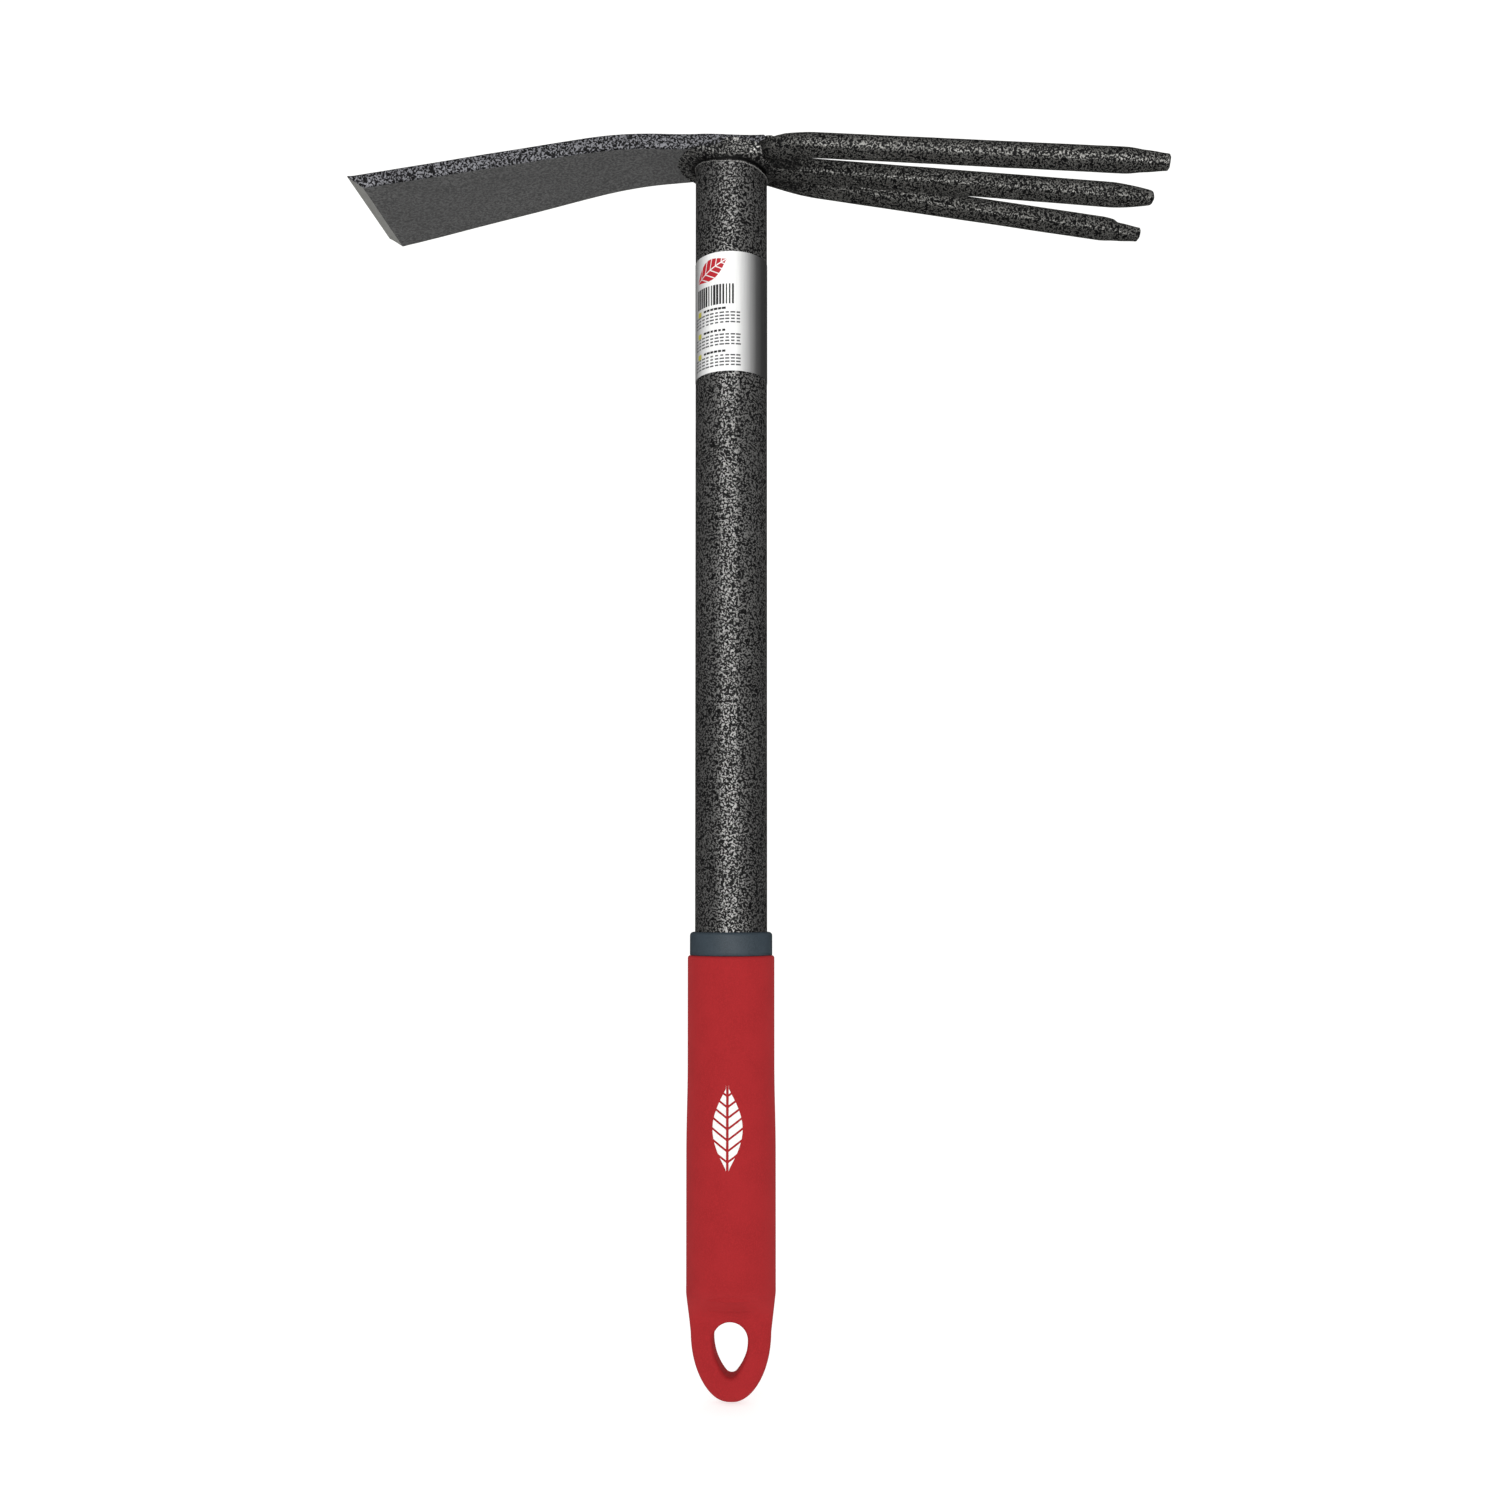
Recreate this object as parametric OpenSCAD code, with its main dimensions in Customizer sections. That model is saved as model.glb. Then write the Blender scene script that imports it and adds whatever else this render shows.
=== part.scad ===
// Hand hoe and cultivator: one welded steel head across the top of a tube, with a
// two-shot grip. Millimetres. +Z runs up the handle towards the head, +X towards
// the tines, -X towards the hoe blade. The origin is the middle of the straight
// part of the grip, on the handle's axis.

/* [Handle tube] */
// Outside diameter of the handle tube
tube_d = 25.4; // [22:0.1:30]
// Wall thickness of the handle tube
tube_wall = 1.5; // [1:0.1:3]
// Height of the head bar's underside above the middle of the grip
head_z = 372.5; // [300:0.5:450]
// How far the tube runs down past the middle of the grip
tube_below = 20; // [5:0.5:24]

/* [Head bar and blade] */
// Width of the straight part of the bar
bar_w = 24; // [18:0.5:30]
// Thickness of the bar
bar_t = 5.5; // [4:0.1:8]
// How far the bar runs past the handle's axis on the tine side
bar_end = 13; // [11:0.5:18]
// Reach of the cutting edge from the handle's axis
blade_reach = 131.8; // [100:0.2:170]
// Width of the blade at its cutting edge
edge_w = 46.8; // [36:0.2:70]
// Extra fullness of the blade's side halfway along
blade_bulge = 0.35; // [0:0.05:2]
// Where the bend from bar to blade starts and ends, measured from the axis
bend_from = 25; // [20:0.5:40]
bend_to = 50; // [42:0.5:80]
// Downward slope of the blade
blade_slope = 9.8; // [4:0.1:20]
// Thickness of the blade just before the ground edge
edge_t = 5; // [3:0.1:6]
// Length of the ground bevel on the blade's underside
bevel_run = 5.4; // [4:0.1:12]
// Flat left on the ground edge
edge_land = 0.4; // [0.2:0.1:1]

/* [Tines] */
// Diameter of a tine rod
rod_d = 8.2; // [6:0.1:10]
// Reach of the tine tips from the handle's axis
tine_reach = 148.3; // [110:0.2:180]
// Sideways distance from the middle tine to an outer one, at the root
root_pitch = 8.7; // [8.6:0.1:11]
// Angle at which an outer tine leaves the bar
root_flare = 22; // [15:0.5:24]
// Length of that straight start, measured along the bar's direction
flare_run = 7; // [5:0.5:12]
// Radius of the outer tine's bend
tine_bend_r = 43; // [30:0.5:60]
// Angle between an outer tine and the middle one after the bend
tine_splay = 5.5; // [3:0.1:8]
// Downward slope of the outer tines
outer_droop = 7.8; // [4:0.1:12]
// Downward slope of the middle tine
middle_droop = 6.6; // [4:0.1:12]
// Height of the outer tines' centres above the bar's underside, at the root
outer_root_z = 0.8; // [-1:0.1:2]
// Height of the middle tine's centre above the bar's underside, at the root
middle_root_z = -1.4; // [-2:0.1:2]
// Length of a tip's taper
tip_taper = 14; // [8:0.5:25]
// Diameter of a tine's blunt end
tip_d = 5; // [3:0.1:6]

/* [Welds] */
// Height of the weld bead up the tube, below the bar
weld_leg = 6.5; // [4:0.1:9]
// How far that bead spreads outwards under the bar
weld_spread = 5.6; // [3:0.1:7]
// How far the bead stands out past the tube, on the bar's two sides
weld_side = 1.3; // [0.5:0.1:2.5]
// Reach of the webs between the tine roots, past the bar's end
web_reach = 12; // [8:0.5:16]
// Thickness of those webs
web_t = 2.6; // [2:0.1:5]
// Run of the cap bead laid over the tine roots
cap_run = 5.5; // [3:0.5:8]

/* [Grip] */
// Diameter of the straight part of the grip
grip_d = 31.4; // [29.6:0.1:36]
// Length of that straight part, centred on the origin
grip_straight = 54; // [40:0.5:70]
// Diameter of the upper part of the grip
grip_top_d = 30.5; // [29.4:0.1:34]
// Height at which the grip has narrowed to its upper diameter
swell_top = 50; // [40:0.5:70]
// Height of the top of the grip's outer sleeve
grip_top = 90.7; // [80:0.5:120]
// Radius of the rounded lip at the sleeve's top
lip_r = 1; // [0.5:0.1:1.2]
// Diameter of the inner sleeve where it shows as a collar
collar_d = 29; // [28.4:0.1:30]
// Height of the collar above the outer sleeve
collar_h = 8.2; // [4:0.1:14]
// Chamfer on the collar's top edge
collar_chamfer = 1; // [0.3:0.1:1.4]
// Diameter of the inner sleeve under the outer one
core_d = 28; // [27.8:0.1:28.4]

/* [Tail] */
// Length of the tail below the straight part of the grip
tail_len = 38; // [32:0.5:50]
// Width of the tail where its rounded end starts
tail_w = 28.2; // [26:0.2:30]
// Length of the tail's straight taper before the rounded end
tail_taper = 14; // [8:0.5:20]
// Thickness of the flattened tail
tail_t = 9; // [8:0.5:14]
// Length of the change from round to flat
flat_run = 10; // [7:0.5:14]
// Thickness of the outer sleeve over the tail's core
skin = 1.7; // [1.2:0.1:2]
// Width of the hang hole
hole_w = 12.2; // [9:0.1:14]
// Height of the hang hole
hole_h = 19; // [16:0.1:21]
// Radius of the hang hole's narrow end
hole_end_r = 2.4; // [1.5:0.1:3.5]
// Depth of the top of the hang hole below the straight part of the grip
hole_drop = 9.8; // [9:0.1:13]

/* [Label and emblem] */
// Height of the label's lower edge above the middle of the grip
label_z = 293.7; // [150:0.5:320]
// Height of the label
label_h = 41.9; // [20:0.1:60]
// Thickness of the label film
label_t = 0.2; // [0.1:0.05:0.4]
// Turn of the label's emblem round the tube, towards the blade
emblem_turn = 31; // [0:1:60]
// Length and width of the label's emblem
label_leaf_len = 14.5; // [8:0.5:18]
label_leaf_w = 7.2; // [4:0.1:9]
// Lean of the label's emblem from upright
label_leaf_lean = 64; // [0:1:90]
// Thickness of the printed ink layers
ink_t = 0.15; // [0.1:0.05:0.3]
// Height of the middle of the emblem printed on the grip
emblem_z = 33; // [20:0.5:60]
// Length and width of the emblem printed on the grip
emblem_len = 32; // [16:0.5:40]
emblem_w = 10.5; // [6:0.5:16]

/* [Hidden] */
$fn = 72;
tube_r = tube_d / 2;
half_bar = bar_w / 2;
bar_top = head_z + bar_t;
bend_run = bend_to - bend_from;
bend_r = bend_run / sin(blade_slope);
bend_drop = bend_r * (1 - cos(blade_slope));
bend_steps = 12;
side_steps = 16;
rod_r = rod_d / 2;
bend_fat = 0.02;      // how much thicker the outer tines' bends are than the rod
lap = 0.4;            // how far a straight part runs into a bend
grip_r = grip_d / 2;
tail_top = -grip_straight / 2;
tail_end = tail_top - tail_len;
hole_top = tail_top - hole_drop;
hole_r = hole_w / 2;
lining = skin - 0.2;
label_r = tube_r + label_t;
past = 1;            // how far a cutting body runs past the face it cuts
far = 60;            // half size of the blocks that cut a piece at a plane
tail_round = 2;      // exponent of the tail's rounded end, 2 being an ellipse
tail_draw = 1.2;     // how much the tail's round form narrows by its end
web_drop = 0.6;       // depth of the webs' tops below the bar's underside, at the root
hollow_r = 3.6;       // radius of the hollow in a web's end
leaf_gap = 0.7;      // half width of the gap between the emblem's two leaf halves

// Steel tube, open at both ends; the bar closes the top and the core the bottom.
module handle_tube() color("#2d2d2d") translate([0, 0, -tube_below]) difference() {
    cylinder(h = head_z + tube_below, r = tube_r);
    translate([0, 0, -past]) cylinder(h = head_z + tube_below + 2 * past, r = tube_r - tube_wall);
}

// Underside of the bar and blade at a distance x along the head.
function under(x) =
    x > -bend_from ? head_z :
    x > -bend_to ? head_z - bend_r + sqrt(bend_r * bend_r - (x + bend_from) * (x + bend_from)) :
    head_z - bend_drop + (x + bend_to) * tan(blade_slope);

// Thickness at x: full in the bar, thinner towards the edge.
function thick(x) = x > -bend_to ? bar_t :
    bar_t + (edge_t - bar_t) * (x + bend_to) / (bend_to - blade_reach);

// Half width at x: constant in the bar, then flaring to the edge with a slight bulge.
function flare_at(x) = max(0, (x + half_bar + 2) / (half_bar + 2 - blade_reach));
function half_width(x) = half_bar + (edge_w / 2 - half_bar) * flare_at(x)
    + 4 * blade_bulge * flare_at(x) * (1 - flare_at(x));

// The bar and blade as one forging, cut from its side view and its top view.
module hoe_blade() color("#4a4a4a") intersection() {
    rotate([90, 0, 0]) translate([0, 0, -far]) linear_extrude(2 * far) polygon(concat(
        [[bar_end, bar_top], [bar_end, head_z]],
        [for (i = [0:bend_steps]) let (x = -bend_from - bend_run * i / bend_steps) [x, under(x)]],
        [[-blade_reach + bevel_run, under(-blade_reach + bevel_run)],
            [-blade_reach, edge_top() - edge_land], [-blade_reach, edge_top()]],
        [for (i = [bend_steps:-1:0]) let (x = -bend_from - bend_run * i / bend_steps)
            [x, under(x) + thick(x)]]));
    translate([0, 0, head_z - far]) linear_extrude(2 * far) polygon(concat(
        [for (i = [0:side_steps]) side_point(i, 1)],
        [for (i = [side_steps:-1:0]) side_point(i, -1)],
        [[bar_end, -half_bar], [bar_end, half_bar]]));
}
function edge_top() = under(-blade_reach) + edge_t;
function side_x(i) = -(half_bar + 2) + (half_bar + 2 - blade_reach) * i / side_steps;
function side_point(i, side) = [side_x(i), side * half_width(side_x(i))];

// Straight rod along +X with a tapered blunt tip.
module rod_end(len) rotate([0, 90, 0]) {
    cylinder(h = len - tip_taper, r = rod_r);
    translate([0, 0, len - tip_taper]) cylinder(h = tip_taper, r1 = rod_r, r2 = tip_d / 2);
}

// Everything on the tine side of the bar's end face.
module past_bar() translate([bar_end, -far, head_z - far]) cube([4 * far, 2 * far, 2 * far]);

// The middle tine is straight.
module tine_middle() color("#2b2b2b") intersection() {
    translate([bar_end, 0, head_z + middle_root_z]) rotate([0, middle_droop, 0])
        translate([-past, 0, 0]) rod_end(past + (tine_reach - bar_end) / cos(middle_droop));
    past_bar();
}

// An outer tine leaves the bar at an angle and bends back to a gentle splay. The bend is
// a hair thicker than the rod, and the straight parts run a little way into it.
bend_dx = tine_bend_r * (sin(root_flare) - sin(tine_splay));
bend_dy = tine_bend_r * (cos(tine_splay) - cos(root_flare));
end_run = tine_reach - bar_end - (flare_run + bend_dx) * cos(outer_droop);
module outer_tine(side) color("#2b2b2b") intersection() {
    translate([bar_end, 0, head_z + outer_root_z]) rotate([0, outer_droop, 0])
        mirror([0, side < 0 ? 1 : 0, 0]) translate([0, root_pitch, 0]) {
            rotate([0, 0, root_flare]) translate([-2 * past, 0, 0]) rotate([0, 90, 0])
                cylinder(h = 2 * past + flare_run / cos(root_flare) + lap, r = rod_r);
            translate([flare_run, flare_run * tan(root_flare), 0])
                rotate([0, 0, root_flare]) translate([0, -tine_bend_r, 0])
                    rotate([0, 0, 90 - root_flare + tine_splay])
                        rotate_extrude(angle = root_flare - tine_splay)
                            translate([tine_bend_r, 0]) circle(r = rod_r + bend_fat);
            translate([flare_run + bend_dx, flare_run * tan(root_flare) + bend_dy, 0])
                rotate([0, 0, tine_splay]) translate([-lap, 0, 0])
                    rod_end(lap + end_run / (cos(outer_droop) * cos(tine_splay)));
        }
    past_bar();
}
module tine_front() outer_tine(-1);
module tine_back() outer_tine(1);

// Fillet bead round the tube under the bar; it stands a little past their sides.
bead_half = max(half_bar, tube_r) + weld_side;
module bead_ring() translate([0, 0, head_z - weld_leg]) intersection() {
    difference() {
        cylinder(h = weld_leg, r1 = tube_r + 0.6, r2 = tube_r + weld_spread);
        translate([0, 0, -past]) cylinder(h = weld_leg + 2 * past, r = tube_r);
    }
    translate([-far, -bead_half, 0]) cube([2 * far, 2 * bead_half, far]);
}
module tube_weld() color("#3a3a3a") difference() {
    bead_ring();
    tine_front();
    tine_middle();
    tine_back();
}

// Weld web in the crotch between the middle tine and an outer one, hollowed at its end.
module web(side) difference() {
    translate([bar_end, 0, head_z - web_drop]) rotate([0, outer_droop, 0])
        mirror([0, side < 0 ? 1 : 0, 0]) difference() {
            translate([0, 0, -web_t]) linear_extrude(web_t) polygon([[0, 0.5],
                [web_reach, 0.3 * root_pitch], [web_reach, 1.4 * root_pitch], [0, root_pitch]]);
            translate([web_reach + 0.7 * hollow_r, 0.83 * root_pitch, -web_t - past])
                cylinder(h = web_t + 2 * past, r = hollow_r);
        }
    tine_front();
    tine_middle();
    tine_back();
    bead_ring();
    translate([bar_end - 4 * far, -far, head_z - far]) cube([4 * far, 2 * far, 2 * far]);
}
module web_weld_front() color("#3a3a3a") web(-1);
module web_weld_back() color("#3a3a3a") web(1);

// Cap bead across the bar's end face, over the tine roots.
module cap_weld() color("#3a3a3a") difference() {
    rotate([90, 0, 0]) translate([0, 0, -half_bar + 0.3]) linear_extrude(bar_w - 0.6) polygon([
        [bar_end, bar_top - 0.4], [bar_end + 0.35 * cap_run, bar_top - 0.6],
        [bar_end + 0.75 * cap_run, bar_top - 1.6], [bar_end + cap_run, bar_top - 3.2],
        [bar_end + cap_run, head_z + 1], [bar_end, head_z + 1]]);
    tine_front();
    tine_middle();
    tine_back();
    web(1);
    web(-1);
}

// Half width of the tail's outline at its rounded end, by a superellipse.
end_len = tail_len - tail_taper;
end_steps = 20;
function end_point(i, inset) = let (a = 90 * i / end_steps)
    [(tail_w / 2 - inset) * pow(cos(a), 2 / tail_round),
        tail_top - tail_taper - (end_len - inset) * pow(sin(a), 2 / tail_round)];
module tail_outline(inset) polygon(concat(
    [[grip_r - inset, tail_top + past], [grip_r - inset, tail_top]],
    [for (i = [0:end_steps]) end_point(i, inset)],
    [for (i = [end_steps:-1:0]) [-end_point(i, inset)[0], end_point(i, inset)[1]]],
    [[-grip_r + inset, tail_top], [-grip_r + inset, tail_top + past]]));

// Side view of the tail: round at the top, flat below, rounded at the bottom.
tail_nose = 5;
module tail_side(inset) let (h = tail_t / 2 - inset) polygon([
    [-grip_r + inset, tail_top + past], [-grip_r + inset, tail_top],
    [-h - 0.28 * (grip_r - tail_t / 2), tail_top - 0.6 * flat_run], [-h, tail_top - flat_run],
    [-h, tail_end + tail_nose], [-0.82 * h, tail_end + 0.3 * tail_nose + inset],
    [-0.5 * h, tail_end + inset], [0.5 * h, tail_end + inset],
    [0.82 * h, tail_end + 0.3 * tail_nose + inset], [h, tail_end + tail_nose],
    [h, tail_top - flat_run], [h + 0.28 * (grip_r - tail_t / 2), tail_top - 0.6 * flat_run],
    [grip_r - inset, tail_top], [grip_r - inset, tail_top + past]]);

// A tail body: round from above and drawn in a little, cut to the outline and side view.
module tail(inset) intersection() {
    translate([0, 0, tail_end])
        cylinder(h = tail_len, r1 = grip_r - tail_draw - inset, r2 = grip_r - inset);
    rotate([90, 0, 0]) translate([0, 0, -far]) linear_extrude(2 * far) tail_outline(inset);
    rotate([90, 0, 90]) translate([0, 0, -far]) linear_extrude(2 * far) tail_side(inset);
}

// Egg-shaped hang hole through the tail, its broad end towards the head: a half circle above,
// a small circle below, and two wide arcs that touch both.
egg_gap = hole_h - hole_r - hole_end_r;
egg_side_r = (egg_gap * egg_gap + hole_r * hole_r - hole_end_r * hole_end_r)
    / (2 * (hole_r - hole_end_r));
egg_side_x = egg_side_r - hole_r;
egg_meet = egg_gap * egg_side_r / (egg_side_r - hole_end_r);
module egg(grow) rotate([90, 0, 0]) translate([0, 0, -far]) linear_extrude(2 * far)
    translate([0, hole_top - hole_r]) union() {
        circle(r = hole_r + grow);
        translate([0, -egg_gap]) circle(r = hole_end_r + grow);
        intersection() {
            translate([-egg_side_x, 0]) circle(r = egg_side_r + grow);
            translate([egg_side_x, 0]) circle(r = egg_side_r + grow);
            translate([-hole_w, -egg_meet]) square([2 * hole_w, egg_meet]);
        }
    }

// Hard inner sleeve: lines the tube, shows as the collar, and carries the tail.
module core_body() {
    difference() {
        union() {
            translate([0, 0, tail_top]) cylinder(h = grip_top - tail_top, r = core_d / 2);
            translate([0, 0, grip_top]) cylinder(h = collar_h - collar_chamfer, r = collar_d / 2);
            translate([0, 0, grip_top + collar_h - collar_chamfer])
                cylinder(h = collar_chamfer, r1 = collar_d / 2, r2 = collar_d / 2 - collar_chamfer);
        }
        translate([0, 0, -tube_below]) cylinder(h = 2 * grip_top + tube_below, r = tube_r);
    }
    difference() {
        tail(skin);
        egg(lining);
    }
}
module grip_core() color("#3c464f") core_body();

// Outside of the grip above the tail, grown by a layer's thickness.
module grip_outside(grow) rotate_extrude() polygon([[0, tail_top], [grip_r + grow, tail_top],
    [grip_r + grow, -tail_top], [grip_top_d / 2 + grow, swell_top],
    [grip_top_d / 2 + grow, grip_top - lip_r], [grip_top_d / 2 + grow - 0.3 * lip_r,
        grip_top - 0.3 * lip_r], [grip_top_d / 2 + grow - lip_r, grip_top], [0, grip_top]]);

// Soft outer sleeve over the core, down to the tail and through the hang hole.
module grip_sleeve() color("#a92b2e") difference() {
    union() {
        grip_outside(0);
        tail(0);
    }
    egg(0);
    translate([0, 0, tail_top]) cylinder(h = grip_top - tail_top + past, r = core_d / 2);
    difference() {
        tail(skin);
        egg(lining);
    }
    grip_leaf();
}

// Wrap-round label on the tube.
module label() color("#e6e6e4") translate([0, 0, label_z]) difference() {
    cylinder(h = label_h, r = label_r);
    translate([0, 0, -past]) cylinder(h = label_h + 2 * past, r = tube_r);
}

// Generic leaf outline, pointed at both ends, drawn along +Y.
leaf_steps = 14;
module leaf(len, wide) polygon(concat(
    [for (i = [0:leaf_steps]) leaf_point(i, len, wide)],
    [for (i = [leaf_steps - 1:-1:1]) [-leaf_point(i, len, wide)[0], leaf_point(i, len, wide)[1]]]));
function leaf_point(i, len, wide) =
    [0.5 * wide * pow(sin(180 * i / leaf_steps), 1.3), len * (i / leaf_steps - 0.5)];

// Red leaf printed on the label's front.
module label_emblem() color("#c22a30") intersection() {
    translate([0, 0, label_z]) difference() {
        cylinder(h = label_h, r = label_r + ink_t);
        translate([0, 0, -past]) cylinder(h = label_h + 2 * past, r = label_r);
    }
    rotate(-emblem_turn) translate([0, 0, label_z + 0.86 * label_h]) rotate([90, 0, 0])
        linear_extrude(far) rotate(-label_leaf_lean) leaf(label_leaf_len, label_leaf_w);
}

// White leaf with a split rib, let into the grip's front so that it lies flush.
module grip_leaf() intersection() {
    difference() {
        grip_outside(0);
        grip_outside(-ink_t);
    }
    translate([0, 0, emblem_z]) rotate([90, 0, 0]) linear_extrude(far) difference() {
        leaf(emblem_len, emblem_w);
        translate([-leaf_gap, -0.3 * emblem_len]) square([2 * leaf_gap, emblem_len]);
    }
}
module grip_emblem() color("#ecebe8") grip_leaf();

handle_tube();
hoe_blade();
tine_front();
tine_middle();
tine_back();
tube_weld();
web_weld_front();
web_weld_back();
cap_weld();
grip_core();
grip_sleeve();
label();
label_emblem();
grip_emblem();
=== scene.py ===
import math

import bmesh
import bpy
import numpy as np
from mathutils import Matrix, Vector, noise


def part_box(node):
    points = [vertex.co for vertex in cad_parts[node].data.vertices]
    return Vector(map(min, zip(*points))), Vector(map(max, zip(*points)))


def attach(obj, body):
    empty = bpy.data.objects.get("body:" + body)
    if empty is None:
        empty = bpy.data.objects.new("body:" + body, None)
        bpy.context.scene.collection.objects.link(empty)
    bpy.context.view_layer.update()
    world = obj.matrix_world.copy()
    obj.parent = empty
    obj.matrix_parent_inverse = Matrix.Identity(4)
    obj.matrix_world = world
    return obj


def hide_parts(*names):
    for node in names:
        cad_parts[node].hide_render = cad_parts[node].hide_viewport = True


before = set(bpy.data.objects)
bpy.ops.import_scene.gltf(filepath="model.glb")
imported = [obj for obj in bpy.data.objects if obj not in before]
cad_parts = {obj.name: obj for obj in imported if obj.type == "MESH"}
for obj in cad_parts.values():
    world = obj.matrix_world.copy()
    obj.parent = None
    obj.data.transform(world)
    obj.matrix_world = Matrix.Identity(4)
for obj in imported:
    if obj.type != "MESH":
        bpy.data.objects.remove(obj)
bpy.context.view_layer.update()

# ------------------------------------------------------------------ sizes, in mm
MM = 0.001


def span(node):
    """Lowest and highest corner of a CAD node, in mm."""
    lo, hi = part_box(node)
    return lo / MM, hi / MM


TUBE_LO, TUBE_HI = span("handle_tube")
TUBE_R = TUBE_HI.x
HEAD_Z = TUBE_HI.z  # underside of the bar
TUBE_WALL = 1.5

BLADE_LO, BLADE_HI = span("hoe_blade")
BAR_TOP = BLADE_HI.z
BAR_END = BLADE_HI.x
BLADE_REACH = -BLADE_LO.x
EDGE_HALF = BLADE_HI.y
BAR_HALF = 12.0
BAR_T = BAR_TOP - HEAD_Z
BEND_FROM, BEND_TO = 25.0, 50.0
BLADE_SLOPE = math.radians(9.8)
EDGE_T = 5.0
BEVEL_RUN = 5.4
EDGE_LAND = 0.4
BLADE_BULGE = 0.35
ARRIS = 0.85  # rounding of the bar's long edges
END_DROOP = 1.1  # how far forging has drawn down the top of the bar's end
FORGED_LUMP = 0.08  # waviness of the forged faces

ROD_R = 4.1
TINE_REACH = span("tine_middle")[1].x - 0.3
ROOT_PITCH = 8.7
ROOT_FLARE = math.radians(22)
FLARE_RUN = 7.0
TINE_BEND_R = 43.0
TINE_SPLAY = math.radians(5.5)
OUTER_DROOP, MIDDLE_DROOP = math.radians(7.8), math.radians(6.6)
OUTER_ROOT_Z, MIDDLE_ROOT_Z = 0.8, -1.4
ROOT_IN = 2.5  # how far a rod's root lies inside the weld
TIP_ZONE = 15.0  # length of rod before its end that is closely spaced
BULLET_RUN, BULLET_DRAW = 16.0, 1.9  # the plain tip: its length, and how far it is drawn down
TIP_RUN, TIP_DRAW = 12.5, 1.35  # the squared tips

SLEEVE_LO, SLEEVE_HI = span("grip_sleeve")
GRIP_R = SLEEVE_HI.x
GRIP_TOP = SLEEVE_HI.z
TAIL_END = SLEEVE_LO.z
GRIP_TOP_R = 15.25
DRAW_FROM, DRAW_RUN = 22.0, 30.0  # where the grip starts to draw in towards its top, and over how far
TAIL_TOP = -27.0
TAIL_TAPER = 14.0
TAIL_HALF = 14.1
TAIL_THICK = 4.5  # half thickness of the flattened tail
TAIL_ROUND = 2.0  # power of the tail's outline, 2 being an ellipse
NOSE = 4.5  # height of the tail's rounded end
NOSE_POWER = 2.3  # how blunt that end is
CORE_R = 14.0
LIP = 1.0
COLLAR_TOP = span("grip_core")[1].z
COLLAR_R = 14.5
HOLE_TOP = -36.8
HOLE_R = 6.1
HOLE_END_R = 2.4
HOLE_H = 19.0
HOLE_RIM = 1.6  # rounding of the hole's rim

LABEL_LO, LABEL_HI = span("label")
FILM = 0.1
LABEL_INK, GRIP_INK = 0.05, 0.06  # thickness of the printed inks
LABEL_R = TUBE_R + FILM
LABEL_LEAF_LO, LABEL_LEAF_HI = span("label_emblem")
EMBLEM_LO, EMBLEM_HI = span("grip_emblem")


# ------------------------------------------------------------------ mesh tools
def mesh_from(name, verts, faces):
    """A mesh from points in mm."""
    mesh = bpy.data.meshes.new(name)
    mesh.from_pydata([tuple(c * MM for c in v) for v in verts], [], faces)
    return mesh


def cleaned(mesh, merge=None, outward=True):
    """Merges points closer than merge, in metres, and turns the faces outwards."""
    bm = bmesh.new()
    bm.from_mesh(mesh)
    if merge:
        bmesh.ops.remove_doubles(bm, verts=bm.verts, dist=merge)
    if outward:
        bmesh.ops.recalc_face_normals(bm, faces=bm.faces)
    bm.to_mesh(mesh)
    bm.free()
    return mesh


def in_scene(name, data):
    """The data as an object in the scene, at the origin."""
    o = bpy.data.objects.new(name, data)
    bpy.context.scene.collection.objects.link(o)
    return o


def worked(o):
    """The plain mesh that an object's modifiers give, after which they are removed."""
    graph = bpy.context.evaluated_depsgraph_get()
    mesh = bpy.data.meshes.new_from_object(o.evaluated_get(graph), depsgraph=graph)
    o.modifiers.clear()
    return mesh


def piece_from(name, verts, faces, *materials, picks=None, sharp=40, merge=1e-7):
    """A piece from points in mm, with outward faces, smooth but for edges over the sharp angle."""
    mesh = mesh_from(name, verts, faces)
    for m in materials:
        mesh.materials.append(m)
    if picks is not None:
        mesh.polygons.foreach_set("material_index", picks)
    return placed(name, cleaned(mesh, merge), sharp)


def placed(name, mesh, sharp=40):
    """The mesh as an object at the origin."""
    mesh.name = name
    mesh.shade_smooth()
    mesh.set_sharp_from_angle(angle=math.radians(sharp))
    return in_scene(name, mesh)


def skin(rings, start=None, end=None):
    """Points and faces of a skin over rings of equal count. Each end is open, flat ("flat") or a point."""
    n = len(rings[0])
    verts = [tuple(p) for ring in rings for p in ring]
    faces = []
    for i in range(len(rings) - 1):
        a, b = i * n, (i + 1) * n
        faces += [(a + j, a + (j + 1) % n, b + (j + 1) % n, b + j) for j in range(n)]
    for cap, base in ((start, 0), (end, (len(rings) - 1) * n)):
        if cap is None:
            continue
        if isinstance(cap, str):
            faces.append(tuple(base + j for j in range(n)))
        else:
            verts.append(tuple(cap))
            faces += [(base + j, base + (j + 1) % n, len(verts) - 1) for j in range(n)]
    return verts, faces


def circle(r, z, n):
    """Points of a level circle about the handle's axis."""
    return [(r * math.cos(a), r * math.sin(a), z) for a in np.linspace(0, 2 * math.pi, n, endpoint=False)]


def turned(profile, n, start=None, end=None):
    """A turned shape about the handle's axis: profile holds (radius, z) pairs."""
    return skin([circle(r, z, n) for r, z in profile], start, end)


def arc(cx, cz, r, a0, a1, steps):
    """Points of an arc in the (radius, z) plane, degrees."""
    return [(cx + r * math.cos(a), cz + r * math.sin(a)) for a in np.radians(np.linspace(a0, a1, steps))]


def ease(t):
    """t held to 0..1, with a soft start and end."""
    t = min(1.0, max(0.0, t))
    return t * t * (3 - 2 * t)


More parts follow.
